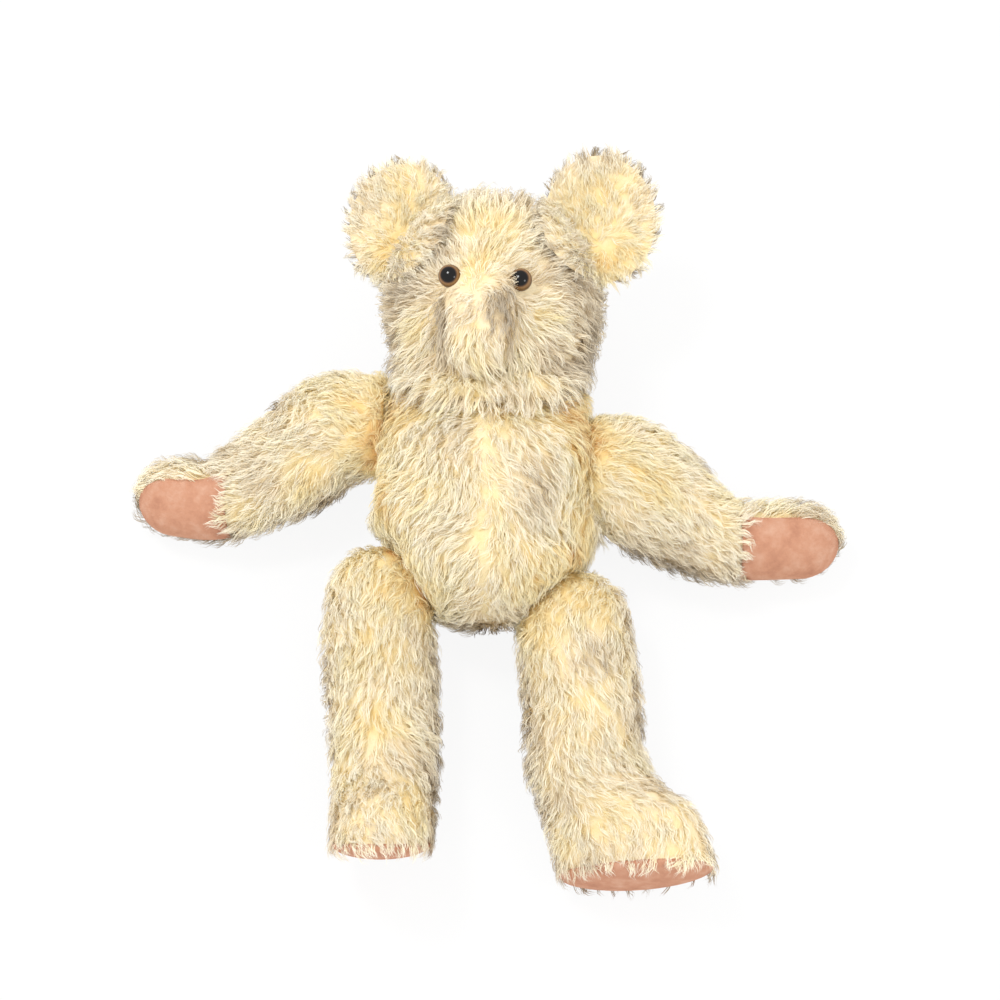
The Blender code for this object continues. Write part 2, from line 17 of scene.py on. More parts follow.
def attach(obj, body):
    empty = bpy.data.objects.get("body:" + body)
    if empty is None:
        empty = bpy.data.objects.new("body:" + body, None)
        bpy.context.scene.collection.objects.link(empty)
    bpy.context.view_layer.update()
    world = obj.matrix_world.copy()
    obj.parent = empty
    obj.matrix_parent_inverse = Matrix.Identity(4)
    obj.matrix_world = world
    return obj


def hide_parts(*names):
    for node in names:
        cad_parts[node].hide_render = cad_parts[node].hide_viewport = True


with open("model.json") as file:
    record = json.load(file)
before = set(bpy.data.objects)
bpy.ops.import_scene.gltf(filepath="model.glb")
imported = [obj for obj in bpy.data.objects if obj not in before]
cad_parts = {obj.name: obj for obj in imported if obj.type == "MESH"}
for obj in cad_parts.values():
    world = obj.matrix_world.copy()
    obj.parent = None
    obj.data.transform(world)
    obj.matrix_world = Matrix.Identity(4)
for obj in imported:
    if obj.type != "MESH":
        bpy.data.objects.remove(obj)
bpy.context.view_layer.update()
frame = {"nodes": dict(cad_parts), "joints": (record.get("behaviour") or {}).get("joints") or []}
joints = {joint["name"]: joint for joint in frame["joints"]}


# Camera: it looks down on the bear from above its feet, as one photographs a toy on a table.
# A long lens at arm's length keeps the sides nearly parallel.
CAMERA_TARGET = Vector((0.0093, 0.012, 0.050))
CAMERA_ELEVATION = math.radians(68)
CAMERA_DISTANCE = 1.3
VIEW_WIDTH = 0.6
SENSOR = 36.0

scene = bpy.context.scene


def add_object(name, data, place=(0, 0, 0)):
    """A new object in the scene. One that is off the origin, a camera or a lamp, looks at the bear."""
    made = bpy.data.objects.new(name, data)
    scene.collection.objects.link(made)
    made.location = place
    if any(place):
        made.rotation_mode = "QUATERNION"
        made.rotation_quaternion = (Vector(place) - CAMERA_TARGET).to_track_quat("Z", "Y")
    return made


back_way = Vector((0, -math.cos(CAMERA_ELEVATION), math.sin(CAMERA_ELEVATION)))
camera = add_object("camera", bpy.data.cameras.new("camera"), CAMERA_TARGET + CAMERA_DISTANCE * back_way)
camera.data.sensor_width = SENSOR
camera.data.lens = SENSOR * CAMERA_DISTANCE / VIEW_WIDTH
scene.camera = camera
scene.view_settings.view_transform = "Standard"


# Light: an even white room, a soft lamp over the bear's right shoulder and a weaker one across from it.
# Together they show a colour about as it is written, and the lamps are the white spots in the glass eyes.
ROOM_LIGHT = 0.97
LAMPS = (
    ("key_lamp", (-0.55, 0.35, 1.55), 0.36, 9.2),
    ("fill_lamp", (0.95, -0.55, 1.25), 0.36, 3.1),
)


def linear(colour):
    """An sRGB hex colour as linear red, green and blue: each channel c below 0.04045 is c / 12.92, and above
    it ((c + 0.055) / 1.055) to the power 2.4."""
    channels = np.array([int(colour[i : i + 2], 16) for i in (1, 3, 5)]) / 255
    low = channels / 12.92
    high = ((channels + 0.055) / 1.055) ** 2.4
    return (*np.where(channels <= 0.04045, low, high).tolist(), 1.0)


def add_node(tree, kind, inputs=None, **settings):
    """A node with its settings, and its inputs set to a value or linked to another node's output."""
    made = tree.nodes.new(f"ShaderNode{kind}")
    for name, value in settings.items():
        setattr(made, name, value)
    for socket, value in (inputs or {}).items():
        if isinstance(value, bpy.types.NodeSocket):
            tree.links.new(value, made.inputs[socket])
        else:
            made.inputs[socket].default_value = value
    return made


world = bpy.data.worlds.new("room")
scene.world = world
world.use_nodes = True
world.node_tree.nodes["Background"].inputs["Color"].default_value = linear("#FFFFFF")
world.node_tree.nodes["Background"].inputs["Strength"].default_value = ROOM_LIGHT
for lamp_name, place, size, power in LAMPS:
    lamp = add_object(lamp_name, bpy.data.lights.new(lamp_name, "AREA"), place)
    lamp.data.size = size
    lamp.data.energy = power


# Floor: a plain white sheet of paper. The camera and the glass see it nearly white, and it keeps a share of
# the bear's shadow.
FLOOR_HALF = 3.0
FLOOR_SHADOW_SHARE = 0.10
PAPER_WHITE = "#F8F8F8"

floor_mesh = bpy.data.meshes.new("floor")
floor_corners = [(x * FLOOR_HALF, y * FLOOR_HALF, 0) for x, y in ((-1, -1), (1, -1), (1, 1), (-1, 1))]
floor_mesh.from_pydata(floor_corners, [], [(0, 1, 2, 3)])
add_object("floor", floor_mesh)
paper = bpy.data.materials.new("white_paper")
paper.use_nodes = True
sheet = paper.node_tree
sheet.nodes.remove(sheet.nodes["Principled BSDF"])
rays = add_node(sheet, "LightPath").outputs
seen = add_node(sheet, "Math", {0: rays["Is Camera Ray"], 1: rays["Is Glossy Ray"]}, operation="MAXIMUM")
glow_share = add_node(sheet, "Math", {0: seen.outputs[0], 1: 1 - FLOOR_SHADOW_SHARE}, operation="MULTIPLY")
matt = add_node(sheet, "BsdfDiffuse", {"Color": linear(PAPER_WHITE)})
glow = add_node(sheet, "Emission", {"Color": linear("#FFFFFF"), "Strength": 1.0})
both = add_node(sheet, "MixShader", {0: glow_share.outputs[0], 1: matt.outputs[0], 2: glow.outputs[0]})
sheet.links.new(both.outputs[0], sheet.nodes["Material Output"].inputs["Surface"])
floor_mesh.materials.append(paper)


# Mohair: long lustrous goat hair, which gives a soft sheen. Each hair is a little darker at its root and
# bleached at its tip. The map's first number picks the hair's tone, from grey through cream to a rusty tan,
# and the second runs from root to tip. The grey end serves as painted shade on the sides and underside, and
# the tan end as painted shade in the creases.
HAIR_TONES = (
    (0.00, "#BBB09E"),
    (0.12, "#D9CDB8"),
    (0.24, "#F1E7D1"),
    (0.40, "#FFFAE9"),
    (0.58, "#FDF6D9"),
    (0.76, "#FBEDBE"),
    (0.90, "#F5DCA6"),
    (1.00, "#DFB784"),
)
MULTIPLIED = {"data_type": "RGBA", "blend_type": "MULTIPLY"}
HAIR_AGES = ((0.0, "#FCF1DD"), (0.35, "#FFFAF1"), (0.8, "#FFFFFF"), (1.0, "#FFFFFF"))


def set_stops(ramp, stops):
    """Gives a colour ramp its stops, as (place, hex colour)."""
    while len(ramp.elements) > 2:
        ramp.elements.remove(ramp.elements[-1])
    for element, (place, colour) in zip(ramp.elements, (stops[0], stops[-1])):
        element.position = place
        element.color = linear(colour)
    for place, colour in stops[1:-1]:
        ramp.elements.new(place).color = linear(colour)


def plain_material(name, sockets):
    """A material with one Principled surface, dull where its sockets don't say otherwise, its node tree and
    that surface."""
    made = bpy.data.materials.new(name)
    made.use_nodes = True
    surface = made.node_tree.nodes["Principled BSDF"]
    for socket, value in {"Specular IOR Level": 0.3, **sockets}.items():
        surface.inputs[socket].default_value = value
    return made, made.node_tree, surface


MOHAIR, hair, hair_surface = plain_material("mohair_hair", {"Roughness": 0.55})
hair_map = add_node(hair, "UVMap", uv_map="OFBake")
hair_place = add_node(hair, "SeparateXYZ", {0: hair_map.outputs[0]})
hair_tone = add_node(hair, "ValToRGB", {0: hair_place.outputs["X"]})
set_stops(hair_tone.color_ramp, HAIR_TONES)
hair_age = add_node(hair, "ValToRGB", {0: hair_place.outputs["Y"]})
set_stops(hair_age.color_ramp, HAIR_AGES)
hair_colours = {0: 1.0, 6: hair_tone.outputs[0], 7: hair_age.outputs[0]}
hair_colour = add_node(hair, "Mix", hair_colours, **MULTIPLIED)
hair.links.new(hair_colour.outputs[2], hair_surface.inputs["Base Color"])


# Backing: the woven cotton ground of the mohair, dull, with short broken pile that shows between the locks.
# Its tone follows the pile's, painted shade included, with stains a few millimetres across, and its bump is
# the stubble, about a millimetre apart.
STUBBLE = 0.0009
STAIN = 0.006
STAIN_DEPTH = 0.5
STAIN_LEVEL = 0.15
BACKING_YELLOW = "#FBEFD8"
BACKING, ground, ground_surface = plain_material("worn_mohair_backing", {"Roughness": 0.95})
ground_place = add_node(ground, "TexCoord").outputs["Object"]
ground_tone = add_node(ground, "Attribute", attribute_name="tone").outputs["Fac"]
stain = add_node(ground, "TexNoise", {"Vector": ground_place, "Scale": 1 / STAIN, "Detail": 4.0})
stain_sum = {0: stain.outputs[0], 1: STAIN_DEPTH, 2: ground_tone}
stained = add_node(ground, "Math", stain_sum, operation="MULTIPLY_ADD")
stained_tone = add_node(ground, "Math", {0: stained.outputs[0], 1: STAIN_LEVEL}, operation="SUBTRACT")
stain_colour = add_node(ground, "ValToRGB", {0: stained_tone.outputs[0]})
set_stops(stain_colour.color_ramp, HAIR_TONES)
aged = {0: 1.0, 6: stain_colour.outputs[0], 7: linear(BACKING_YELLOW)}
ground_colour = add_node(ground, "Mix", aged, **MULTIPLIED)
stubble = add_node(ground, "TexNoise", {"Vector": ground_place, "Scale": 1 / STUBBLE, "Detail": 2.0})
stubble_bump = add_node(ground, "Bump", {"Height": stubble.outputs[0], "Strength": 0.8, "Distance": STUBBLE})
ground.links.new(ground_colour.outputs[2], ground_surface.inputs["Base Color"])
ground.links.new(stubble_bump.outputs[0], ground_surface.inputs["Normal"])


# Torso: a mohair sack, sewn down the middle of the tummy and stuffed hard with wood wool. Its shape is a
# loft of oval rings, pressed flat under it by its own weight. The pile is parted and thin along the seam.
# A ring is its middle's x, y and z, its half width and its half depth, here and in the pieces below.
TORSO_RINGS = (
    (0.003, -0.030, 0.053, 0.0580, 0.056),
    (0.001, -0.009, 0.058, 0.0660, 0.061),
    (0.000, 0.018, 0.058, 0.0675, 0.061),
    (0.001, 0.044, 0.054, 0.0670, 0.056),
    (0.003, 0.063, 0.052, 0.0665, 0.051),
)
TORSO_CAPS = (0.0365, 0.024)
TORSO_LOCKS = 3760
TORSO_HAIR = 0.0150
TORSO_LIFT = 0.0050
TORSO_MIDDLE = (0, 0.01, 0.05)
SEAM_X = 0.001
SEAM_FRONT_ONLY = 0.05
CREASE_REACH = 0.020
NECK_SHADE_REACH = 0.050
SHOULDER_DISH = 0.046
SKIN_ROWS = 56
SKIN_COLUMNS = 64
PILE_ROOM = 0.0022
FLOOR_GAP = 0.0004
JOINT_GAP = 0.0003
HAIR_CROSSING = 0.0060
FLAT = 0.0012
JOINT_REACH = 0.07
UNDERSIDE_DENSITY = 0.5
DRIFT_WAVES = 8
DRIFT_SCALE = 2.8
HAIRS_PER_LOCK = 7
HAIR_STEPS = np.array([0.0, 0.20, 0.45, 0.72, 1.0])
HAIR_WIDTH = 0.00042
HAIR_STRAY = 0.0007
LOCK_SPREAD = 0.0011
LOCK_TIP_SPREAD = 0.35
LOCK_TURN = 0.22
CRIMP_LENGTH = 0.0085
CRIMP_DEPTH = 0.0008
FLOOR_LAYER = 0.0012
LOCK_TONE_SPREAD = 0.07
HAIR_TONE_SPREAD = 0.04
MAP_SLIVER = 0.004


def unit(vectors):
    """Each vector over its own length."""
    return vectors / np.maximum(np.linalg.norm(vectors, axis=-1, keepdims=True), 1e-12)


def lengths_of(vectors):
    """Each vector's length."""
    return np.linalg.norm(vectors, axis=-1)


def portion(amounts):
    """Amounts held between 0 and 1."""
    return np.clip(amounts, 0, 1)


def dot(a, b):
    """The sum of the products of two vectors' parts, kept as a column."""
    return (a * b).sum(-1, keepdims=True)


def bump(distance, reach):
    """1 at no distance, falling to 0 as a bell curve of that reach."""
    return np.exp(-((distance / reach) ** 2))


def eased(table, places):
    """Reads a table at any places, on cubic pieces that pass through every row with no corner."""
    slopes = np.gradient(table, axis=0)
    left = np.minimum(places.astype(int), len(table) - 2)
    t = (places - left)[:, None]
    starts = (2 * t**3 - 3 * t**2 + 1) * table[left] + (t**3 - 2 * t**2 + t) * slopes[left]
    ends = (3 * t**2 - 2 * t**3) * table[left + 1] + (t**3 - t**2) * slopes[left + 1]
    return starts + ends


def loft(rings, caps, facing, inset=0.0, along=None, leans=None):
    """A grid of points over a closed form of oval rings, from one pole to the other: a ring's middle, plus
    half its width times the angle's cosine to one side, plus half its depth times the sine to the front. At
    the ends the ring shrinks with the cosine of a swing, and the cap's length times its sine carries it out.
    A lean slides a point along the line."""
    table = np.array(rings, float)
    if leans is not None:
        table = np.column_stack([table, leans])
    body_length = lengths_of(np.diff(table[:, :3], axis=0)).sum()
    ends = zip(caps, (table[0, 3:5].mean(), table[-1, 3:5].mean()))
    arcs = [math.pi / 2 * math.hypot(cap, radius) / 2**0.5 for cap, radius in ends]
    share = SKIN_ROWS / (body_length + sum(arcs))
    first, last = (max(8, round(share * arc)) for arc in arcs)
    count = SKIN_ROWS - first - last
    rows = eased(table, np.linspace(0, len(table) - 1, count))
    line = np.gradient(rows[:, :3], axis=0) if along is None else np.tile(np.array(along, float), (count, 1))
    line = unit(line)
    facing = np.array(facing, float)
    depth_way = unit(facing - (line @ facing)[:, None] * line)
    width_way = np.cross(line, depth_way)
    first_swing = np.linspace(math.pi / 2, 0, first, endpoint=False)
    last_swing = np.linspace(0, math.pi / 2, last + 1)[1:]
    row = np.r_[np.zeros(first, int), np.arange(count), np.full(last, count - 1)]
    size = np.r_[np.cos(first_swing), np.ones(count), np.cos(last_swing)][:, None]
    first_reach = -np.sin(first_swing) * (caps[0] - inset)
    last_reach = np.sin(last_swing) * (caps[1] - inset)
    reach = np.r_[first_reach, np.zeros(count), last_reach][:, None]
    angle = np.arange(SKIN_COLUMNS) * math.tau / SKIN_COLUMNS
    wide = size * (rows[row, 3, None] - inset) * np.cos(angle)
    deep = size * (rows[row, 4, None] - inset) * np.sin(angle)
    slide = reach + (deep * rows[row, 5, None] if leans is not None else 0)
    parts = (wide, width_way), (deep, depth_way), (slide, line)
    return rows[row, :3][:, None] + sum(amount[..., None] * way[row][:, None] for amount, way in parts)


def moved(points, matrix):
    """Points taken through a 4 by 4 matrix."""
    m = np.array(matrix)
    return points @ m[:3, :3].T + m[:3, 3]


def pressed(points, place, outward, gap=0.0, dish=None):
    """Points beyond a plane come back to it along its normal, or only those within a dish's radius."""
    outward = unit(np.array(outward, float))
    away = points - np.array(place)
    height = away @ outward
    beyond = np.maximum(height + gap, 0)
    if dish is not None:
        across = lengths_of(away - height[..., None] * outward)
        beyond = np.where(across < dish, beyond, 0)
    return points - beyond[..., None] * outward


def joint_plane(name):
    """A joint's middle, and the way along its pin from the torso to the limb."""
    centre, axis = (np.array(joints[name][key]) for key in ("pos_m", "axis"))
    return centre, unit(axis) * np.sign(axis @ (centre - TORSO_MIDDLE))


def grid_normals(grid):
    """Outward normals: the cross product of the grid's two differences, taken from a neighbour at a pole."""
    along = np.gradient(grid, axis=0)
    around = (np.roll(grid, -1, axis=1) - np.roll(grid, 1, axis=1)) / 2
    normals = unit(np.cross(around, along))
    half = len(grid) // 2
    if (normals[half] * (grid[half] - grid.mean((0, 1)))).sum() < 0:
        normals = -normals
    normals[0] = unit(normals[1].mean(0))
    normals[-1] = unit(normals[-2].mean(0))
    return normals


def link_mesh(name, mesh, body, material):
    """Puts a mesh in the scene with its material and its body."""
    made = add_object(name, mesh)
    mesh.materials.append(material)
    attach(made, body)
    return made


def mesh_order(grid):
    """A grid's points in its mesh's order: the bands, then the two poles."""
    return np.vstack([grid[1:-1].reshape(-1, 3), grid[0, :1], grid[-1, :1]])


def finish_shape(shape, mesh):
    """Turns a shape's faces outwards and puts it into its mesh."""
    bmesh.ops.recalc_face_normals(shape, faces=shape.faces)
    shape.to_mesh(mesh)
    shape.free()
    mesh.shade_smooth()


def grid_mesh(name, grid):
    """A closed mesh: the grid's bands of quads, and a fan of triangles round each pole."""
    columns = grid.shape[1]
    corners = np.arange((len(grid) - 2) * columns).reshape(-1, columns)
    ahead = np.roll(corners, -1, axis=1)
    poles = np.full(columns, corners.size)
    quads = np.stack([corners[:-1], ahead[:-1], ahead[1:], corners[1:]], axis=-1).reshape(-1, 4)
    first_fan = np.stack([poles, ahead[0], corners[0]], axis=-1)
    last_fan = np.stack([poles + 1, corners[-1], ahead[-1]], axis=-1)
    faces = [*quads.tolist(), *first_fan.tolist(), *last_fan.tolist()]
    mesh = bpy.data.meshes.new(name)
    mesh.from_pydata(mesh_order(grid).tolist(), [], faces)
    shape = bmesh.new()
    shape.from_mesh(mesh)
    finish_shape(shape, mesh)
    return mesh


def cloth(name, grid, body, replaced, tone):
    """The cover's backing: a closed skin over the grid that carries the pile's tone at each point."""
    mesh = grid_mesh(name, grid)
    tones = tone(mesh_order(grid), mesh_order(grid_normals(grid)))
    layer = mesh.attributes.new("tone", "FLOAT", "POINT")
    layer.data.foreach_set("value", portion(tones).astype(np.float32))
    made = link_mesh(name, mesh, body, BACKING)
    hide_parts(*replaced)


def drift(points, span, seed):
    """A smooth random field of about -1 to 1: eight sine waves in random directions, added up."""
    rng = np.random.default_rng(seed)
    ways = unit(rng.normal(size=(DRIFT_WAVES, 3)))
    waves = math.tau / (span * rng.uniform(0.7, 1.6, DRIFT_WAVES))
    phases = rng.uniform(0, math.tau, DRIFT_WAVES)
    return np.sin((points @ ways.T) * waves + phases).sum(-1) / DRIFT_SCALE


def scatter(grid, count, rng, density):
    """Random places over a grid, with each place's normal and how both change along its cell. A cell's chance
    goes with its area times the density there, and two random shares blend its corners."""
    normals = grid_normals(grid)
    near = grid, np.roll(grid, -1, axis=1)
    near_normals = normals, np.roll(normals, -1, axis=1)
    area = lengths_of(np.cross(near[1][1:] - near[0][:-1], near[0][1:] - near[1][:-1])) / 2
    middles = (grid[:-1] + near[1][1:]).reshape(-1, 3) / 2
    total = np.cumsum(area.ravel() * density(middles, normals[:-1].reshape(-1, 3)))
    cell = np.minimum(np.searchsorted(total, rng.uniform(0, total[-1], count)), total.size - 1)
    row, column = cell // grid.shape[1], cell % grid.shape[1]
    down, across = rng.uniform(0, 1, (2, count, 1))

    def blended(pair):
        upper_left, upper_right = (values[row, column] for values in pair)
        lower_left, lower_right = (values[row + 1, column] for values in pair)
        top = upper_left * (1 - across) + upper_right * across
        foot = lower_left * (1 - across) + lower_right * across
        left = upper_left * (1 - down) + lower_left * down
        right = upper_right * (1 - down) + lower_right * down
        return top * (1 - down) + foot * down, foot - top, right - left

    point, step_down, step_across = blended(near)
    normal, turn_down, turn_across = blended(near_normals)
    steps, turns = (step_down, step_across), (turn_down, turn_across)
    return {"point": point, "normal": unit(normal), "steps": steps, "turns": turns}


def bend_along(roots, ways):
    """How fast the surface turns away along each way, by least squares in the place's two steps."""
    a, b = roots["steps"]
    aa, ab, bb = dot(a, a), dot(a, b), dot(b, b)
    scale = aa * bb - ab**2 + 1e-20
    wa, wb = dot(ways, a), dot(ways, b)
    share_a = (wa * bb - wb * ab) / scale
    share_b = (wb * aa - wa * ab) / scale
    turn = share_a * roots["turns"][0] + share_b * roots["turns"][1]
    return np.clip(dot(turn, ways), -20.0, 90.0)


def swirled(ways, normals, turn):
    """Ways laid on the surface and turned about their normals by an angle each."""
    turn = np.asarray(turn)[:, None]
    ways = unit(ways - dot(ways, normals) * normals)
    return np.cos(turn) * ways + np.sin(turn) * np.cross(normals, ways)


def pile(name, body, roots, ways, tones, lengths, lifts, rng, fit, follow=None):
    """Mohair pile: each root grows a lock of crimped hairs, and each hair is a ribbon that tapers to its tip.
    At share s of its length a lock lies at its root, plus its length times (s - s s / 10) along the nap, plus
    its lift times (2.6 s - 1.9 s s) off the cloth, less the cloth's curve, plus the crimp's sine wave to one
    side. Its hairs draw together towards the tip. A lock whose follow is below 1 stands off the curve."""
    count = len(roots["point"])
    hairs = HAIRS_PER_LOCK
    normal = roots["normal"]
    ways = swirled(ways, normal, rng.normal(0, LOCK_TURN, count))
    side = np.cross(ways, normal)
    bend = bend_along(roots, ways) * (1 if follow is None else follow[:, None])

    def per_hair(values):
        """A lock's values, once for each of its hairs."""
        return np.repeat(values, hairs, axis=0)[:, None]

    def per_lock(values):
        return per_hair(np.asarray(values)[:, None])

    total = count * hairs
    each = (total, 1, 1)
    s = HAIR_STEPS[None, :, None]
    length = per_lock(lengths * rng.uniform(0.75, 1.2, count)) * rng.uniform(0.72, 1.08, each)
    lift = per_lock(lifts * rng.uniform(0.45, 1.5, count)) * rng.uniform(0.7, 1.25, each)
    ahead, up, across = per_hair(ways), per_hair(normal), per_hair(side)
    run = length * (s - 0.10 * s**2)
    phase = per_lock(rng.uniform(0, math.tau, count)) + rng.normal(0, 0.45, each)
    crimp = per_lock(rng.uniform(0.4, 1.5, count)) * CRIMP_DEPTH
    wave = math.tau * run / (CRIMP_LENGTH * per_lock(rng.uniform(0.8, 1.3, count))) + phase
    sway = crimp * (np.sin(wave) - np.sin(phase)) * np.minimum(1, 3 * s)
    sway = sway + per_lock(rng.normal(0, 0.12, count)) * length * s**2
    rise = lift * (2.6 * s - 1.9 * s**2) + 0.5 * crimp * np.cos(wave) * s
    rise = rise - np.minimum(per_hair(bend) * run**2 / 2, 0.5 * length)
    start = rng.normal(0, LOCK_SPREAD, (total, 1, 2)) * (1 - (1 - LOCK_TIP_SPREAD) * s)
    stray = rng.normal(0, HAIR_STRAY, (total, 1, 2)) * s**2
    points = (
        per_hair(roots["point"])
        + (run + start[..., :1]) * ahead
        + (rise + stray[..., :1]) * up
        + (sway + start[..., 1:] + stray[..., 1:]) * across
    )
    points = fit(points)
    points[..., 2] = np.maximum(points[..., 2], FLOOR_GAP + rng.uniform(0, FLOOR_LAYER, (total, 1)))
    tilt = rng.normal(0, 0.6, each) + rng.normal(0, 0.8, each) * s
    edge = np.cos(tilt) * across + np.sin(tilt) * up
    half = HAIR_WIDTH / 2 * rng.uniform(0.7, 1.3, each) * (1 - s**2.2)
    steps = len(HAIR_STEPS)
    ribbon = np.empty((total, 2 * steps - 1, 3), np.float32)
    ribbon[:, 0:-1:2] = (points - half * edge)[:, :-1]
    ribbon[:, 1:-1:2] = (points + half * edge)[:, :-1]
    ribbon[:, -1] = points[:, -1]

    bands = [[2 * i, 2 * i + 1, 2 * i + 3, 2 * i + 2] for i in range(steps - 2)]
    pattern = np.array([*sum(bands, []), 2 * steps - 4, 2 * steps - 3, 2 * steps - 2])
    starts = np.arange(0, 4 * len(bands) + 1, 4)
    corners = (np.arange(total)[:, None] * ribbon.shape[1] + pattern).ravel()
    firsts = (np.arange(total)[:, None] * len(pattern) + starts).ravel()
    mesh = bpy.data.meshes.new(name)
    mesh.vertices.add(ribbon.shape[0] * ribbon.shape[1])
    mesh.vertices.foreach_set("co", ribbon.ravel())
    mesh.loops.add(len(corners))
    mesh.loops.foreach_set("vertex_index", corners.astype(np.int32))
    mesh.polygons.add(len(firsts))
    mesh.polygons.foreach_set("loop_start", firsts.astype(np.int32))
    mesh.update(calc_edges=True)
    mesh.shade_smooth()
    tone = np.repeat(tones + rng.normal(0, LOCK_TONE_SPREAD, count), hairs)
    tone = tone + rng.normal(0, HAIR_TONE_SPREAD, total)
    level = np.r_[np.repeat(HAIR_STEPS[:-1], 2), 1.0][pattern]
    offset = np.r_[np.tile([-MAP_SLIVER, MAP_SLIVER], steps - 1), 0.0][pattern]
    places = np.empty((total, len(pattern), 2), np.float32)
    places[..., 0] = np.clip(tone, 0.01, 0.99)[:, None] + offset
    places[..., 1] = 0.02 + 0.96 * level
    layer = mesh.uv_layers.new(name="OFBake", do_init=False)
    layer.uv.foreach_set("vector", places.ravel())
    return link_mesh(name, mesh, body, MOHAIR)


def crease(points, names, reach):
    """1 on the planes of the named joints, fading to 0 at the reach."""
    worn = np.zeros(len(points))
    for name in names:
        centre, outward = joint_plane(name)
        height = np.abs((points - centre) @ outward)
        away = lengths_of(points - centre)
        worn = np.maximum(worn, portion(1 - height / reach) * (away < JOINT_REACH))
    return worn


def painted_side_shade(normals):
    """How grey the pile is painted on the sides and underside: painted shade where they turn away from the
    lamps above.
    """
    return portion(0.5 - normals[:, 2])


def seen_more(normals):
    """The pile's density: half as much on the underside, which is worn flat."""
    return np.where(normals[:, 2] > -0.2, 1.0, UNDERSIDE_DENSITY)


def off_joints(points, names, reach=0.030):
    """False on the flats that meet another cover at these joints, where no pile shows."""
    clear = np.ones(len(points), bool)
    for name in names:
        centre, outward = joint_plane(name)
        away = points - centre
        clear &= (np.abs(away @ outward) > FLAT) | (lengths_of(away) > reach)
    return clear


def torso_side(points, gap=JOINT_GAP):
    """Keeps the torso's skin and hairs on the torso's side of each joint."""
    for name in ("neck", "right_hip", "left_hip"):
        points = pressed(points, *joint_plane(name), gap)
    for name in ("right_shoulder", "left_shoulder"):
        points = pressed(points, *joint_plane(name), gap, SHOULDER_DISH)
    return points


def from_seam(points, normals):
    """How far each point lies from the tummy's seam, with the whole back set far from it."""
    return np.abs(points[:, 0] - SEAM_X) + SEAM_FRONT_ONLY * (normals[:, 2] < 0)


def torso_tone(points, normals):
    """Cream, with tan painted round the joints as crease shade and on the chest as the jaw's shadow, a pale
    line on the seam, and grey painted shade on the sides.
    """
    # Painted shade: the tone turns tan on the chest under the jaw, as the head's shadow, and round every
    # joint's crease.
    neck = np.minimum(1.4 * crease(points, ["neck"], NECK_SHADE_REACH), 1)
    warm = np.maximum(crease(points, joints, CREASE_REACH), neck)
    pale = bump(from_seam(points, normals), 0.0032)
    warm = warm * (1 - 0.8 * pale)
    plain = 0.42 + 0.10 * drift(points, 0.045, 5) + 0.38 * warm - 0.60 * painted_side_shade(normals)
    return plain * (1 - pale) + 0.44 * pale


def torso_density(points, normals):
    """Nearly no locks on the seam, and none where a limb or the head covers the torso."""
    parted = 0.95 * bump(from_seam(points, normals), 0.0028)
    return off_joints(points, joints) * seen_more(normals) * (1 - parted)


def chest_height(points):
    """How high the torso's front stands at each point's place: the oval of the ring there, and the cap's
    shrinking oval beyond the last ring."""
    x, y = points[..., 0], points[..., 1]
    middle, height, wide, deep = (np.interp(y, torso_table[:, 1], torso_table[:, k]) for k in (0, 2, 3, 4))
    past = portion((y - torso_table[-1, 1]) / TORSO_CAPS[1])
    small = np.sqrt(np.maximum(1 - past**2, 0.01))
    share = portion(1 - ((x - middle) / (wide * small)) ** 2)
    return height + deep * small * np.sqrt(share)


torso_table = eased(np.array(TORSO_RINGS), np.linspace(0, len(TORSO_RINGS) - 1, 120))
torso_rng = np.random.default_rng(11)
torso_grid = loft(TORSO_RINGS, TORSO_CAPS, (0, 0, 1), PILE_ROOM, along=(0, 1, 0))
torso_grid = torso_side(pressed(torso_grid, (0, 0, FLOOR_GAP), (0, 0, -1)))
cloth("torso_cloth", torso_grid, "torso", ["torso_cover"], torso_tone)
torso_roots = scatter(torso_grid, TORSO_LOCKS, torso_rng, torso_density)
torso_spots, torso_normals = torso_roots["point"], torso_roots["normal"]
torso_part = bump(from_seam(torso_spots, torso_normals), 0.0045)
torso_away = np.tanh((torso_spots[:, 0] - SEAM_X) / 0.006)
torso_away = torso_away * np.clip(0.65 + torso_spots[:, 1] / 0.10, 0.3, 1.2)
torso_ways = np.column_stack([torso_away, np.full((len(torso_spots), 2), (-1.0, 0.0))])
pile(
    "torso_pile",
    "torso",
    torso_roots,
    swirled(torso_ways, torso_normals, 0.5 * drift(torso_spots, 0.05, 21)),
    torso_tone(torso_spots, torso_normals),
    TORSO_HAIR * (1 - 0.45 * torso_part),
    TORSO_LIFT * (1 - 0.75 * torso_part) * (1 - 0.3 * crease(torso_spots, joints, CREASE_REACH)),
    torso_rng,
    lambda points: torso_side(points, -HAIR_CROSSING),
)


# Head: a mohair ball with the muzzle sewn in, packed hard. The nose and mouth stitches are worn away, and
# the pile is rubbed short on the muzzle. It lies away from the nose all round and falls over the cheeks.
# The rings run from the back of the head to the nose, and the jaw's cloth hangs over the chest.
NECK_TO_FACE = 0.058
HEAD_RINGS = (
    (0.000, -0.003, -0.024, 0.0610, 0.0645),
    (0.000, 0.000, 0.000, 0.0630, 0.0650),
    (0.000, -0.001, 0.020, 0.0600, 0.0610),
    (0.000, -0.003, 0.033, 0.0490, 0.0530),
    (0.000, -0.007, 0.043, 0.0350, 0.0420),
    (0.000, -0.009, 0.053, 0.0260, 0.0300),
    (0.000, -0.009, 0.064, 0.0220, 0.0240),
)
HEAD_CAPS = (0.0437, 0.010)
HEAD_NOD = math.radians(18)
HEAD_TURN = math.radians(-7)
HEAD_LEAN = math.radians(-1.5)
HEAD_LOCKS = 3860
HEAD_HAIR = 0.0150
HEAD_LIFT = 0.0048
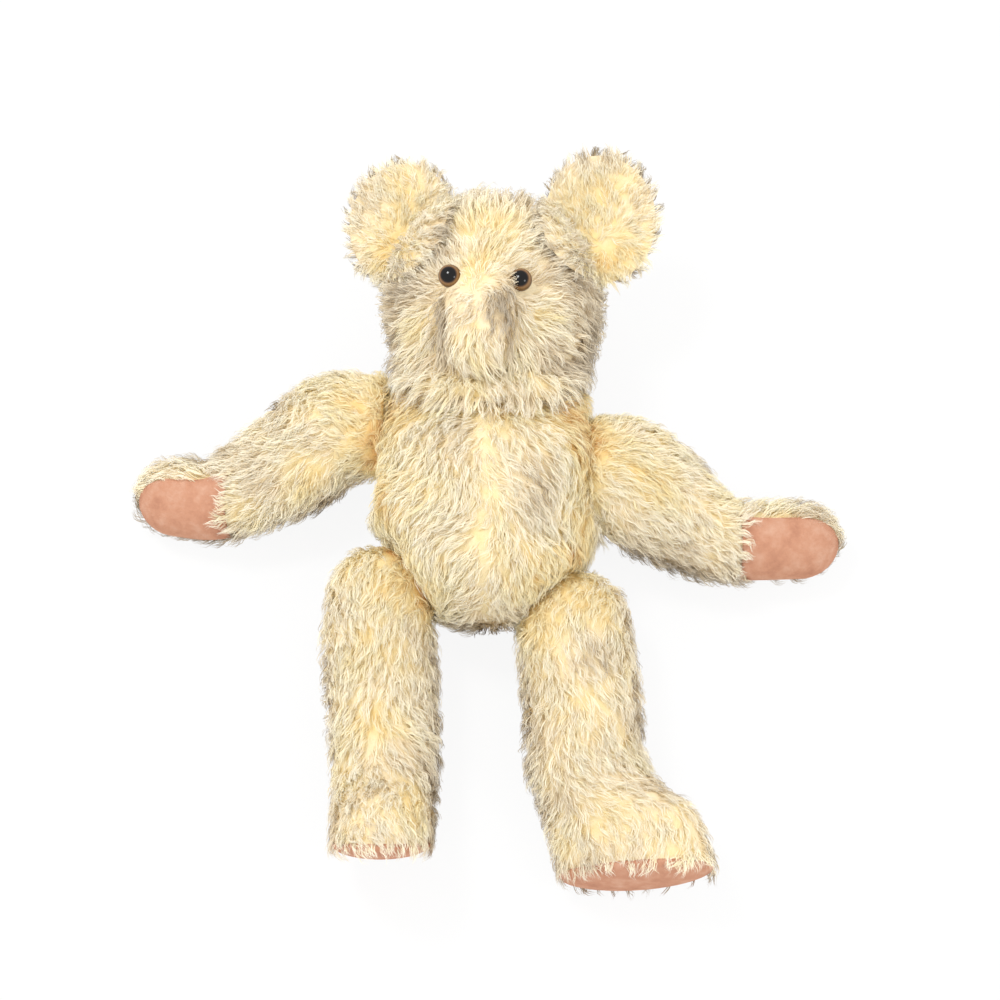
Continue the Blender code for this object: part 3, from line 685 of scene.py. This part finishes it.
HEAD_FLAT = 0.034
NOSE = np.array([0.0, 0.051, 0.074])
RUBBED_FROM = 0.006
RUBBED_OVER = 0.024
CHEEK_FALL = 0.035
CROWN_FROM = 0.040
CROWN_OVER = 0.015
JAW_RADIUS = 0.0560
JAW_DROP = 0.025
JAW_HIGH = 0.034
JAW_THICK = 0.006
JAW_GAP = 0.0005
JAW_EDGE = 0.004
NEAR_NECK = 0.002
OVER_CHEST = 0.004
CHIN_BACK = 0.010
EYE_OUT = 0.0200
EYE_SHIFT = 0.0034
EYE_UP = 0.0630
EYE_RADIUS = 0.0068
EYE_HEIGHT = 0.0056
EYE_PROUD = 0.0026
EYE_BARE = 0.0085
EYE_ROOM = 0.0105
EYE_STUBBLE = 0.0015
EYE_AHEAD = 0.05

head_spin = Matrix.Rotation(HEAD_NOD, 4, "X") @ Matrix.Rotation(HEAD_TURN, 4, "Y")
head_spin = head_spin @ Matrix.Rotation(HEAD_LEAN, 4, "Z")
head_frame = Matrix.Translation(Vector(joints["neck"]["pos_m"])) @ head_spin
to_head = head_frame.inverted()
head_rings = [(x, y + NECK_TO_FACE, z, wide, high) for x, y, z, wide, high in HEAD_RINGS]
head_table = eased(np.array(head_rings), np.linspace(0, len(head_rings) - 1, 200))


def oval(x, y, ring):
    """The squares of a place's share of a ring's half width and half height, added up: 1 on the ring."""
    return ((x - ring[0]) / ring[3]) ** 2 + ((y - ring[1]) / ring[4]) ** 2


def face_height(x, y):
    """How far the face stands out at a place: the last ring of the head's table that still covers it."""
    return head_table[np.flatnonzero(oval(x, y, head_table.T) <= 1)[-1], 2]


def head_side(points, gap=JOINT_GAP):
    """Keeps the head's skin and hairs above the neck joint."""
    centre, outward = joint_plane("neck")
    return pressed(points, centre, -outward, gap)


def jaw_share(points):
    """1 on the jaw's front and 0 on the head's back, and 1 at the neck joint fading to 0 at the jaw's top.
    With them come each point's height over the joint, its way off the pin and its radius."""
    centre, outward = joint_plane("neck")
    height = (points - centre) @ outward
    flat = points - centre - height[..., None] * outward
    radius = np.maximum(lengths_of(flat), 1e-6)
    front = portion((flat[..., 2] / radius - 0.08) / 0.75)
    return front**2 * (3 - 2 * front), portion(1 - height / JAW_HIGH), height, flat, radius


def draped(points):
    """The jaw's cloth hangs down over the chest: each point near the neck joint is pushed out to the jaw's
    radius, slides down along the neck by the drop times its shares, and comes to rest on the chest."""
    centre, outward = joint_plane("neck")
    front, near, height, flat, radius = jaw_share(points)
    upper = portion(height / JAW_EDGE)
    wide = portion((flat[..., 2] / radius + 0.35) / 0.4)
    pushed = radius + np.maximum(JAW_RADIUS - radius, 0) * wide * upper * portion(4 * near)
    lowered = height - JAW_DROP * front * near
    fallen = centre + lowered[..., None] * outward + flat * (pushed / radius)[..., None]
    rest = chest_height(fallen) + JAW_GAP + JAW_THICK * upper
    moving = (lowered < NEAR_NECK) & (front * near > 0.02)
    fallen[..., 2] = np.where(moving, np.maximum(fallen[..., 2], rest), fallen[..., 2])
    return fallen


def over_chest(points):
    """Lays the chin's hairs over the chest: beyond the neck joint they stay above its bulge, and the hairs
    further back stay on their side."""
    centre, outward = joint_plane("neck")
    fallen = (points - centre) @ outward < NEAR_NECK
    height = points[..., 2]
    lifted = points.copy()
    lifted[..., 2] = np.where(fallen, np.maximum(height, chest_height(points) + OVER_CHEST), height)
    front = points[:, :1, 2:] > centre[2] + CHIN_BACK
    return np.where(front, lifted, head_side(points, -HAIR_CROSSING))


def head_tone(points, normals):
    """Grey, painted greyer still on the sides and underside as shade, and yellow on the forehead, between the
    eyes, on the cheeks, muzzle and chin; the left cheek gets more tone than the right, as painted light
    against the key lamp's one-sided shading.
    """
    places = moved(points, to_head)
    x, y, z = places.T
    front = portion(z / 0.03)
    yellow = 0.42 * bump(np.hypot(x, y - 0.092), 0.020) + 0.42 * bump(np.hypot(x, y - 0.068), 0.012)
    # Painted light: the bear's left cheek, away from the key lamp, gets more tone than the right to even out
    # the lamp's shading.
    cheeks = (0.31 + 0.12 * np.sign(x)) * bump(np.hypot(np.abs(x) - 0.034, y - 0.045), 0.012)
    muzzle = 0.22 * bump(lengths_of(places - NOSE), 0.010)
    front_share, near_share = jaw_share(points)[:2]
    chin = 0.22 * front_share * portion(1.6 * near_share - 0.6)
    mottle = 0.12 * drift(points, 0.035, 6)
    seam = 0.20 * bump(x, 0.0035) * portion((0.046 - y) / 0.01)
    return 0.21 + front * (yellow + cheeks + muzzle + seam) + chin + mottle - 0.26 * painted_side_shade(normals)


eye_x = [side * EYE_OUT + EYE_SHIFT for side in (-1, 1)]
eye_places = np.array([(x, EYE_UP, face_height(x, EYE_UP)) for x in eye_x])


def head_density(points, normals):
    """No locks under the eyes or on the flat of the neck."""
    places = moved(points, to_head)
    clear = np.min([lengths_of(places - eye) for eye in eye_places], axis=0) > EYE_BARE
    return clear * off_joints(points, ["neck"], HEAD_FLAT) * seen_more(normals)


head_rng = np.random.default_rng(12)
head_grid = moved(loft(head_rings, HEAD_CAPS, (0, 1, 0), PILE_ROOM, along=(0, 0, 1)), head_frame)
head_grid = draped(head_side(pressed(head_grid, (0, 0, FLOOR_GAP), (0, 0, -1))))
cloth("head_cloth", head_grid, "head", ["head_cover"], head_tone)
head_roots = scatter(head_grid, HEAD_LOCKS, head_rng, head_density)
head_spots = moved(head_roots["point"], to_head)
from_nose = head_spots - NOSE
below_eyes = portion((0.075 - head_spots[:, 1]) / 0.03)
fall = CHEEK_FALL * below_eyes * portion(np.abs(head_spots[:, 0]) / 0.02)
head_ways = (from_nose - np.outer(fall, (0, 1, 0))) @ np.array(head_frame)[:3, :3].T
head_ways = swirled(head_ways, head_roots["normal"], 0.55 * drift(head_roots["point"], 0.04, 22))
rubbed = 1 - portion((lengths_of(from_nose) - RUBBED_FROM) / RUBBED_OVER)
front_share, near_share = jaw_share(head_roots["point"])[:2]
chin_share = front_share * near_share
from_face = np.hypot(head_spots[:, 0], head_spots[:, 1] - NECK_TO_FACE)
crown = portion((from_face - CROWN_FROM) / CROWN_OVER)
head_lengths = HEAD_HAIR * (1 - 0.50 * rubbed + 0.35 * chin_share)
for eye in moved(eye_places, head_frame):
    to_eye = eye - head_roots["point"]
    ahead_of_eye = dot(to_eye, head_ways)[:, 0]
    beside_eye = lengths_of(to_eye - ahead_of_eye[:, None] * head_ways)
    towards = (ahead_of_eye > 0) & (beside_eye < EYE_ROOM)
    edge_of_eye = np.sqrt(np.clip(EYE_ROOM**2 - beside_eye**2, 0, None))
    room = np.clip(ahead_of_eye - edge_of_eye, EYE_STUBBLE, None)
    head_lengths = np.where(towards, np.minimum(head_lengths, room), head_lengths)
pile(
    "head_pile",
    "head",
    head_roots,
    head_ways,
    head_tone(head_roots["point"], head_roots["normal"]),
    head_lengths,
    HEAD_LIFT * (1 - 0.6 * rubbed) * (1 + 0.5 * crown),
    head_rng,
    over_chest,
    follow=1 - 0.9 * chin_share,
)


# Ears: flat cushions of the same mohair, sewn to the head's corners and cupped forwards. Inside the cup the
# pile is rubbed short and yellow, and a long fringe stands round the rim, painted greyer where it turns to
# the side, as shade.
EARS = (
    ("right_ear", -1, (-0.0550, 0.0480, -0.004), (0.0370, 0.0395), 31),
    ("left_ear", 1, (0.0635, 0.0510, -0.004), (0.0365, 0.0415), 32),
)
EAR_HALF_THICKNESS = 0.0045
EAR_CUP = 0.009
EAR_SPLAY = math.radians(14)
EAR_SEAT = 0.002
EAR_WRAP = 0.9
EAR_LOCKS = 890
EAR_HAIR = 0.0085
EAR_FRINGE = 0.0025


def inside_head(points):
    """True for points within the head's skin, by the ring of its table at their height."""
    x, y, z = moved(points, to_head).T
    ring = np.clip(np.searchsorted(head_table[:, 2], z), 0, len(head_table) - 1)
    return oval(x, y, head_table[ring].T) < 1


def front_of_head(x, y):
    """How far the head's front stands out at each place, or a long way back where the head isn't."""
    covered = oval(x[..., None], y[..., None], head_table.T) <= 1
    return np.where(covered, head_table[:, 2], -1).max(-1)


def ear_grid(size):
    """A flat round cushion whose rim curls forwards: a unit ball's (x, y, z) goes to half width times x, half
    height times y, and half thickness times z plus the cup times (xx + yy)."""
    polar = np.linspace(0, math.pi, SKIN_ROWS // 2)[:, None]
    around = np.arange(SKIN_COLUMNS) * math.tau / SKIN_COLUMNS
    x, y = np.sin(polar) * np.cos(around), np.sin(polar) * np.sin(around)
    z = np.cos(polar) + 0 * around
    return np.stack([x * size[0], y * size[1], z * EAR_HALF_THICKNESS + EAR_CUP * (x**2 + y**2)], axis=-1)


def make_ear(name, side, place, size, seed):
    """One ear with its pile: a cupped cushion whose base is lifted on to the head's front."""
    rng = np.random.default_rng(seed)
    raised = Vector((place[0], place[1] + NECK_TO_FACE, place[2]))
    ear_frame = head_frame @ Matrix.Translation(raised) @ Matrix.Rotation(side * EAR_SPLAY, 4, "Y")
    to_ear = ear_frame.inverted()
    small = [half - PILE_ROOM for half in size]
    grid = moved(ear_grid(small), to_head @ ear_frame)
    x, y = grid[..., 0], grid[..., 1]
    cup = EAR_CUP * (ear_grid(small)[..., :2] ** 2 / np.array(small) ** 2).sum(-1) + place[2]
    grid[..., 2] += np.maximum(front_of_head(x, y) + EAR_SEAT - cup, 0) * EAR_WRAP
    grid = moved(grid, head_frame)

    def tone(points, normals):
        x, y, z = (moved(points, to_ear) / (*small, 1)).T
        cup = portion(1 - np.hypot(x, y) / 1.05) ** 0.5 * (normals[:, 2] > 0)
        spots = 0.16 * bump(np.hypot(x, y + 0.45), 0.35) * (1 + drift(points, 0.02, seed))
        return 0.24 + (0.40 + spots) * cup + 0.10 * drift(points, 0.03, seed + 1) - 0.40 * painted_side_shade(normals)

    cloth(f"{name}_cloth", grid, "head", [name], tone)
    roots = scatter(grid, EAR_LOCKS, rng, lambda points, normals: ~inside_head(points) * seen_more(normals))
    spots, normals = roots["point"], roots["normal"]
    x, y, z = moved(spots, to_ear).T
    ways = np.column_stack([x, y + 0.35 * size[1], 0 * z]) @ np.array(ear_frame)[:3, :3].T
    ways = swirled(ways, normals, 0.4 * drift(spots, 0.03, seed + 2))
    rim = portion((np.hypot(x / small[0], y / small[1]) - 0.6) / 0.4)
    lengths = EAR_HAIR + EAR_FRINGE * rim
    pile(f"{name}_pile", "head", roots, ways, tone(spots, normals), lengths, 0.3 * lengths, rng, over_chest)


for ear in EARS:
    make_ear(*ear)


# Eyes: blown glass domes with an amber rim round a black pupil, drawn down into the pile on wire shanks.
# The colour lies under clear polished glass, which is the coat, and shows the lamps as small white spots.
EYE_COLOURS = ((0.0, "#040303"), (0.62, "#060403"), (0.69, "#4A3322"), (0.80, "#916C44"), (1.0, "#614528"))
EYE_ROWS = 14
EYE_COLUMNS = 32
EYE_SKIRT = -0.3
EYE_GLOSS = {"Roughness": 0.05, "Specular IOR Level": 0.0, "Coat Weight": 0.7, "Coat Roughness": 0.02}
AMBER_GLASS, glass, glass_surface = plain_material("amber_glass", EYE_GLOSS)
glass_map = add_node(glass, "UVMap", uv_map="round")
glass_place = add_node(glass, "SeparateXYZ", {0: glass_map.outputs[0]})
glass_colour = add_node(glass, "ValToRGB", {0: glass_place.outputs["X"]})
set_stops(glass_colour.color_ramp, EYE_COLOURS)
glass.links.new(glass_colour.outputs[0], glass_surface.inputs["Base Color"])


def make_eye(name, side):
    """A dome of revolution: its radius goes with the cosine and its height with the sine of one angle."""
    x, y, z = eye_places[(side + 1) // 2]
    step = EYE_RADIUS / 2
    slope_x = (face_height(x + step, y) - face_height(x - step, y)) / (2 * step)
    slope_y = (face_height(x, y + step) - face_height(x, y - step)) / (2 * step)
    gaze = Vector((-EYE_AHEAD * slope_x, -EYE_AHEAD * slope_y, 1))
    spin = gaze.to_track_quat("Z", "Y").to_matrix().to_4x4()
    seat = head_frame @ Matrix.Translation(Vector((x, y, z))) @ spin @ Matrix.Translation((0, 0, EYE_PROUD))
    rise = np.r_[np.linspace(math.pi / 2, 0, EYE_ROWS), EYE_SKIRT][:, None]
    around = np.arange(EYE_COLUMNS) * math.tau / EYE_COLUMNS
    wide = EYE_RADIUS * np.cos(np.maximum(rise, 0)) * np.ones(EYE_COLUMNS)
    high = EYE_HEIGHT * np.sin(rise) + 0 * around
    grid = np.stack([wide * np.cos(around), wide * np.sin(around), high], axis=-1)
    grid = np.concatenate([grid, np.tile(grid[-1].mean(0), (1, EYE_COLUMNS, 1))])
    mesh = grid_mesh(name, grid)
    wide_at = np.array([corner.co.xy.length for corner in mesh.vertices]) / EYE_RADIUS
    corners = np.array([corner.vertex_index for corner in mesh.loops])
    places = np.column_stack([np.clip(wide_at[corners], 0.001, 0.999), np.full(len(corners), 0.5)])
    layer = mesh.uv_layers.new(name="round", do_init=False)
    layer.uv.foreach_set("vector", places.astype(np.float32).ravel())
    mesh.transform(seat)
    made = link_mesh(f"{name}_glass", mesh, "head", AMBER_GLASS)
    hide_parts(name)


make_eye("right_eye", -1)
make_eye("left_eye", 1)


# Felt: pressed wool, dyed salmon, of the paw pads and soles. It is dull, with grubby and faded patches about
# a centimetre across and a fuzzy nap about a millimetre apart.
FELT_INSET = 0.0006
FELT_EDGE = 0.0025
FELT_PATCH = 0.012
FELT_NAP = 0.0011
FELT_COLOURS = ((0.25, "#B57F66"), (0.5, "#CA9478"), (0.75, "#D8AC93"))
FELT_GLOSS = {"Roughness": 0.95, "Specular IOR Level": 0.15}
WOOL_FELT, felt, felt_surface = plain_material("woollen_felt", FELT_GLOSS)
felt_place = add_node(felt, "TexCoord").outputs["Object"]
patches = {"Vector": felt_place, "Scale": 1 / FELT_PATCH, "Detail": 5.0, "Roughness": 0.65}
fading = add_node(felt, "TexNoise", patches)
felt_colour = add_node(felt, "ValToRGB", {0: fading.outputs[0]})
set_stops(felt_colour.color_ramp, FELT_COLOURS)
fuzz = add_node(felt, "TexNoise", {"Vector": felt_place, "Scale": 1 / FELT_NAP, "Detail": 3.0})
fuzz_bump = add_node(felt, "Bump", {"Height": fuzz.outputs[0], "Strength": 0.7, "Distance": 0.0008})
felt.links.new(felt_colour.outputs[0], felt_surface.inputs["Base Color"])
felt.links.new(fuzz_bump.outputs[0], felt_surface.inputs["Normal"])


def felt_pad(name, grid, body, planes):
    """A felt panel: the part of a form's grid beyond every plane, its cut edge turned in under the pile."""
    mesh = grid_mesh(name, grid)
    shape = bmesh.new()
    shape.from_mesh(mesh)
    for place, outward in planes:
        everything = [*shape.verts, *shape.edges, *shape.faces]
        bmesh.ops.bisect_plane(shape, geom=everything, plane_co=place, plane_no=outward, clear_inner=True)
    rim = [edge for edge in shape.edges if edge.is_boundary]
    turned_in = bmesh.ops.extrude_edge_only(shape, edges=rim)["geom"]
    middle = sum((corner.co for corner in shape.verts), Vector()) / len(shape.verts)
    for corner in turned_in:
        if isinstance(corner, bmesh.types.BMVert):
            corner.co -= FELT_EDGE * ((corner.co - middle).normalized() + Vector(planes[-1][1]))
    finish_shape(shape, mesh)
    made = link_mesh(f"{name}_felt", mesh, body, WOOL_FELT)
    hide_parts(name)


# Arms: bent mohair sleeves with a rounded paw. The pile runs down from the shoulder to the paw, smooth and
# yellow where it rubs at the shoulder and shaggier and greyer further out. Tan painted shade lies in the
# shoulder's crease and grey painted shade on the sides. A felt pad lies on each paw.
RIGHT_ARM_RINGS = (
    (0.008, 0.009, 0.001, 0.033, 0.029),
    (0.031, 0.008, -0.005, 0.0345, 0.030),
    (0.054, -0.008, -0.010, 0.032, 0.029),
    (0.083, -0.022, -0.019, 0.0275, 0.025),
    (0.105, -0.029, -0.025, 0.0245, 0.022),
    (0.127, -0.026, -0.029, 0.024, 0.021),
)
LEFT_ARM_RINGS = (
    (0.008, -0.007, 0.001, 0.035, 0.029),
    (0.024, -0.011, -0.004, 0.038, 0.030),
    (0.046, -0.024, -0.010, 0.0345, 0.029),
    (0.071, -0.038, -0.019, 0.0275, 0.025),
    (0.096, -0.043, -0.025, 0.0235, 0.022),
    (0.130, -0.041, -0.029, 0.0235, 0.021),
)
ARM_CAPS = (0.024, 0.026)
ARM_LOCKS = 2030
ARM_HAIR = 0.0135
ARM_WARMTH = 0.26
PAD_REACH = 0.091
PAD_FACING = np.array([0.0, -0.75, 0.66])
RIGHT_PAD_RISE = 0.009
LEFT_PAD_RISE = 0.006
LIMB_LIFT = 0.005
LIMB_FLAT = 0.022
JOINT_CREASE = 0.012
JOINT_TUFTS = 0.014
TUFT_TURN = 2.4
SMOOTH_REACH = 0.045
WARM_REACH = 0.05
WORN_FROM = 0.105
WORN_OVER = 0.045


def beyond_all(points, planes):
    """True for points beyond every plane."""
    return np.all([(points - np.array(place)) @ np.array(outward) > 0 for place, outward in planes], axis=0)


def limb(name, joint, grid, planes, warmth, locks, hair_length, end_wear, seed):
    """A limb's cover and its pile, which lies from the joint to the limb's end and keeps off the felt. By the
    joint the locks turn every way, and the pile is shorter where it is smooth or worn."""
    rng = np.random.default_rng(seed)
    centre, outward = joint_plane(joint)

    def fit(points, gap=-HAIR_CROSSING):
        return pressed(points, centre, -outward, gap)

    def density(points, normals):
        return ~beyond_all(points, planes) * off_joints(points, [joint], LIMB_FLAT) * seen_more(normals)

    def tone(points, normals):
        away = lengths_of(points - centre)
        # The yellow near the joint is the cover's own; the crease term adds tan as painted crease shade, and
        # the last term greys the sides as painted shade.
        warm = warmth * portion(1.25 - away / WARM_REACH) + 0.30 * crease(points, [joint], JOINT_CREASE)
        return 0.40 + warm + 0.11 * drift(points, 0.04, seed + 3) - 0.60 * painted_side_shade(normals)

    grid = fit(grid, JOINT_GAP)
    cloth(f"{name}_cloth", grid, name, [f"{name}_cover"], tone)
    roots = scatter(grid, locks, rng, density)
    spots, normals = roots["point"], roots["normal"]
    ways = swirled(roots["steps"][0], normals, 0.45 * drift(spots, 0.045, seed + 1))
    by_joint = portion(1 - (spots - centre) @ outward / JOINT_TUFTS)
    ways = swirled(ways, normals, rng.uniform(-TUFT_TURN, TUFT_TURN, locks) * by_joint)
    away = lengths_of(spots - centre)
    smooth = 0.8 * portion(1.3 - away / SMOOTH_REACH)
    worn = end_wear * portion((away - WORN_FROM) / WORN_OVER)
    lengths = hair_length * (1 - 0.25 * smooth) * (1 - 0.4 * worn)
    lifts = LIMB_LIFT * (1 - 0.6 * smooth) * (1 - worn)
    pile(f"{name}_pile", name, roots, ways, tone(spots, normals), lengths, lifts, rng, fit)


def make_arm(side_name, side, rings, seam_rise, seed):
    """One arm and its pad, which a plane along the paw and a plane across it cut out of the arm's form."""
    name = f"{side_name}_arm"
    centre = joint_plane(f"{side_name}_shoulder")[0]
    rings = [(side * out, *rest) for out, *rest in rings]
    paw, wrist = np.array(rings[-1][:3]), np.array(rings[-2][:3])
    way = unit(paw - wrist)
    back = (abs(paw[0]) - PAD_REACH) / abs(way[0])
    facing = unit(PAD_FACING - (PAD_FACING @ way) * way)
    corner = centre + paw - back * way + seam_rise * facing
    planes = ((corner, way), (corner, facing))
    skins = (loft(rings, ARM_CAPS, (0, 0, 1), inset) for inset in (PILE_ROOM, FELT_INSET))
    grid, outer = (centre + skin for skin in skins)
    limb(name, f"{side_name}_shoulder", grid, planes, ARM_WARMTH, ARM_LOCKS, ARM_HAIR, 0.0, seed)
    felt_pad(f"{side_name}_paw_pad", outer, name, planes)


make_arm("right", -1, RIGHT_ARM_RINGS, RIGHT_PAD_RISE, 41)
make_arm("left", 1, LEFT_ARM_RINGS, LEFT_PAD_RISE, 42)


# Legs: straight mohair tubes whose feet swell towards the toes, the left one turned outwards. A felt sole
# closes each. The pile runs down to the foot, yellow and smooth at the hip, with tan painted shade in the
# hip's crease and grey painted shade on the sides.
RIGHT_LEG_RINGS = (
    (0.0181, -0.0074, -0.004, 0.0315, 0.032),
    (0.0191, -0.0334, -0.007, 0.0320, 0.032),
    (0.0176, -0.0694, -0.009, 0.0310, 0.031),
    (0.0156, -0.0994, -0.011, 0.0295, 0.030),
    (0.0151, -0.1224, -0.009, 0.0285, 0.032),
    (0.0151, -0.1404, -0.002, 0.0290, 0.041),
    (0.0156, -0.1574, 0.002, 0.0290, 0.045),
)
LEFT_LEG_RINGS = (
    (0.0129, -0.0124, -0.004, 0.0350, 0.033),
    (0.0159, -0.0379, -0.007, 0.0350, 0.033),
    (0.0190, -0.0649, -0.009, 0.0350, 0.032),
    (0.0199, -0.0929, -0.011, 0.0345, 0.032),
    (0.0270, -0.1129, -0.012, 0.0310, 0.036),
    (0.0410, -0.1309, -0.012, 0.0290, 0.045),
    (0.0480, -0.1600, -0.012, 0.0290, 0.047),
)
LEG_CAPS = (0.029, 0.010)
LEG_LOCKS = 2340
LEG_HAIR = 0.0140
LEG_WARMTH = 0.22
SOLE_RIM = 0.001
FOOT_WEAR = 0.4
RIGHT_SOLE_LEAN = math.radians(15)
LEFT_TOE_TURN = math.radians(66)


def make_leg(side_name, side, rings, toe_turn, sole_lean, seed):
    """One leg and its sole: the sole is the form beyond one plane, leant towards the toes."""
    name = f"{side_name}_leg"
    centre = joint_plane(f"{side_name}_hip")[0]
    rings = [(side * out, *rest) for out, *rest in rings]
    lean = math.tan(sole_lean)
    toes = np.array([side * math.sin(toe_turn), 0, math.cos(toe_turn)])
    leans = [0] * (len(rings) - 2) + [lean / 2, lean]
    sole = unit(np.array([0, -1, 0]) - lean * toes)
    planes = ((centre + np.array(rings[-1][:3]) + SOLE_RIM * sole, sole),)
    skins = (loft(rings, LEG_CAPS, toes, inset, (0, -1, 0), leans) for inset in (PILE_ROOM, FELT_INSET))
    grid, outer = (centre + skin for skin in skins)
    limb(name, f"{side_name}_hip", grid, planes, LEG_WARMTH, LEG_LOCKS, LEG_HAIR, FOOT_WEAR, seed)
    felt_pad(f"{side_name}_foot_pad", outer, name, planes)


make_leg("right", -1, RIGHT_LEG_RINGS, 0.0, RIGHT_SOLE_LEAN, 51)
make_leg("left", 1, LEFT_LEG_RINGS, LEFT_TOE_TURN, 0.0, 52)


# Inside: what the pile hides. Wood wool, dry curled shavings, fills the covers. Each joint turns on two dark
# pressed hardboard discs, bright plated steel washers and a cotter pin, as the solids have them.
# A finish is its colour, roughness, metal, grain in metres and the endings of the nodes that have it.
HIDDEN = {
    "wood_wool": ("#C9A66B", 0.9, 0.0, 0.003, ("_stuffing",)),
    "hardboard": ("#6B4A30", 0.75, 0.0, 0.0012, ("_disc",)),
    "plated_steel": ("#B9B6AE", 0.35, 1.0, 0.0, ("_washer", "_pin", "_shank")),
}


def hidden_material(name, colour, roughness, metallic, grain):
    """A plain finish, with a darker and paler grain where it has one."""
    sockets = {"Base Color": linear(colour), "Roughness": roughness, "Metallic": metallic}
    made, tree, surface = plain_material(f"inner_{name}", sockets)
    if grain:
        place = add_node(tree, "TexCoord").outputs["Object"]
        speck = add_node(tree, "TexNoise", {"Vector": place, "Scale": 1 / grain, "Detail": 3.0})
        shade = add_node(tree, "ValToRGB", {0: speck.outputs[0]})
        set_stops(shade.color_ramp, ((0.3, "#9A9A9A"), (0.7, "#FFFFFF")))
        grained = {0: 1.0, 6: linear(colour), 7: shade.outputs[0]}
        mixed = add_node(tree, "Mix", grained, **MULTIPLIED)
        tree.links.new(mixed.outputs[2], surface.inputs["Base Color"])
    return made


for slot_name, (colour, roughness, metallic, grain, endings) in HIDDEN.items():
    finish = hidden_material(slot_name, colour, roughness, metallic, grain)
    for node_name, node in frame["nodes"].items():
        if node_name.endswith(endings):
            node.data.materials.clear()
            node.data.materials.append(finish)
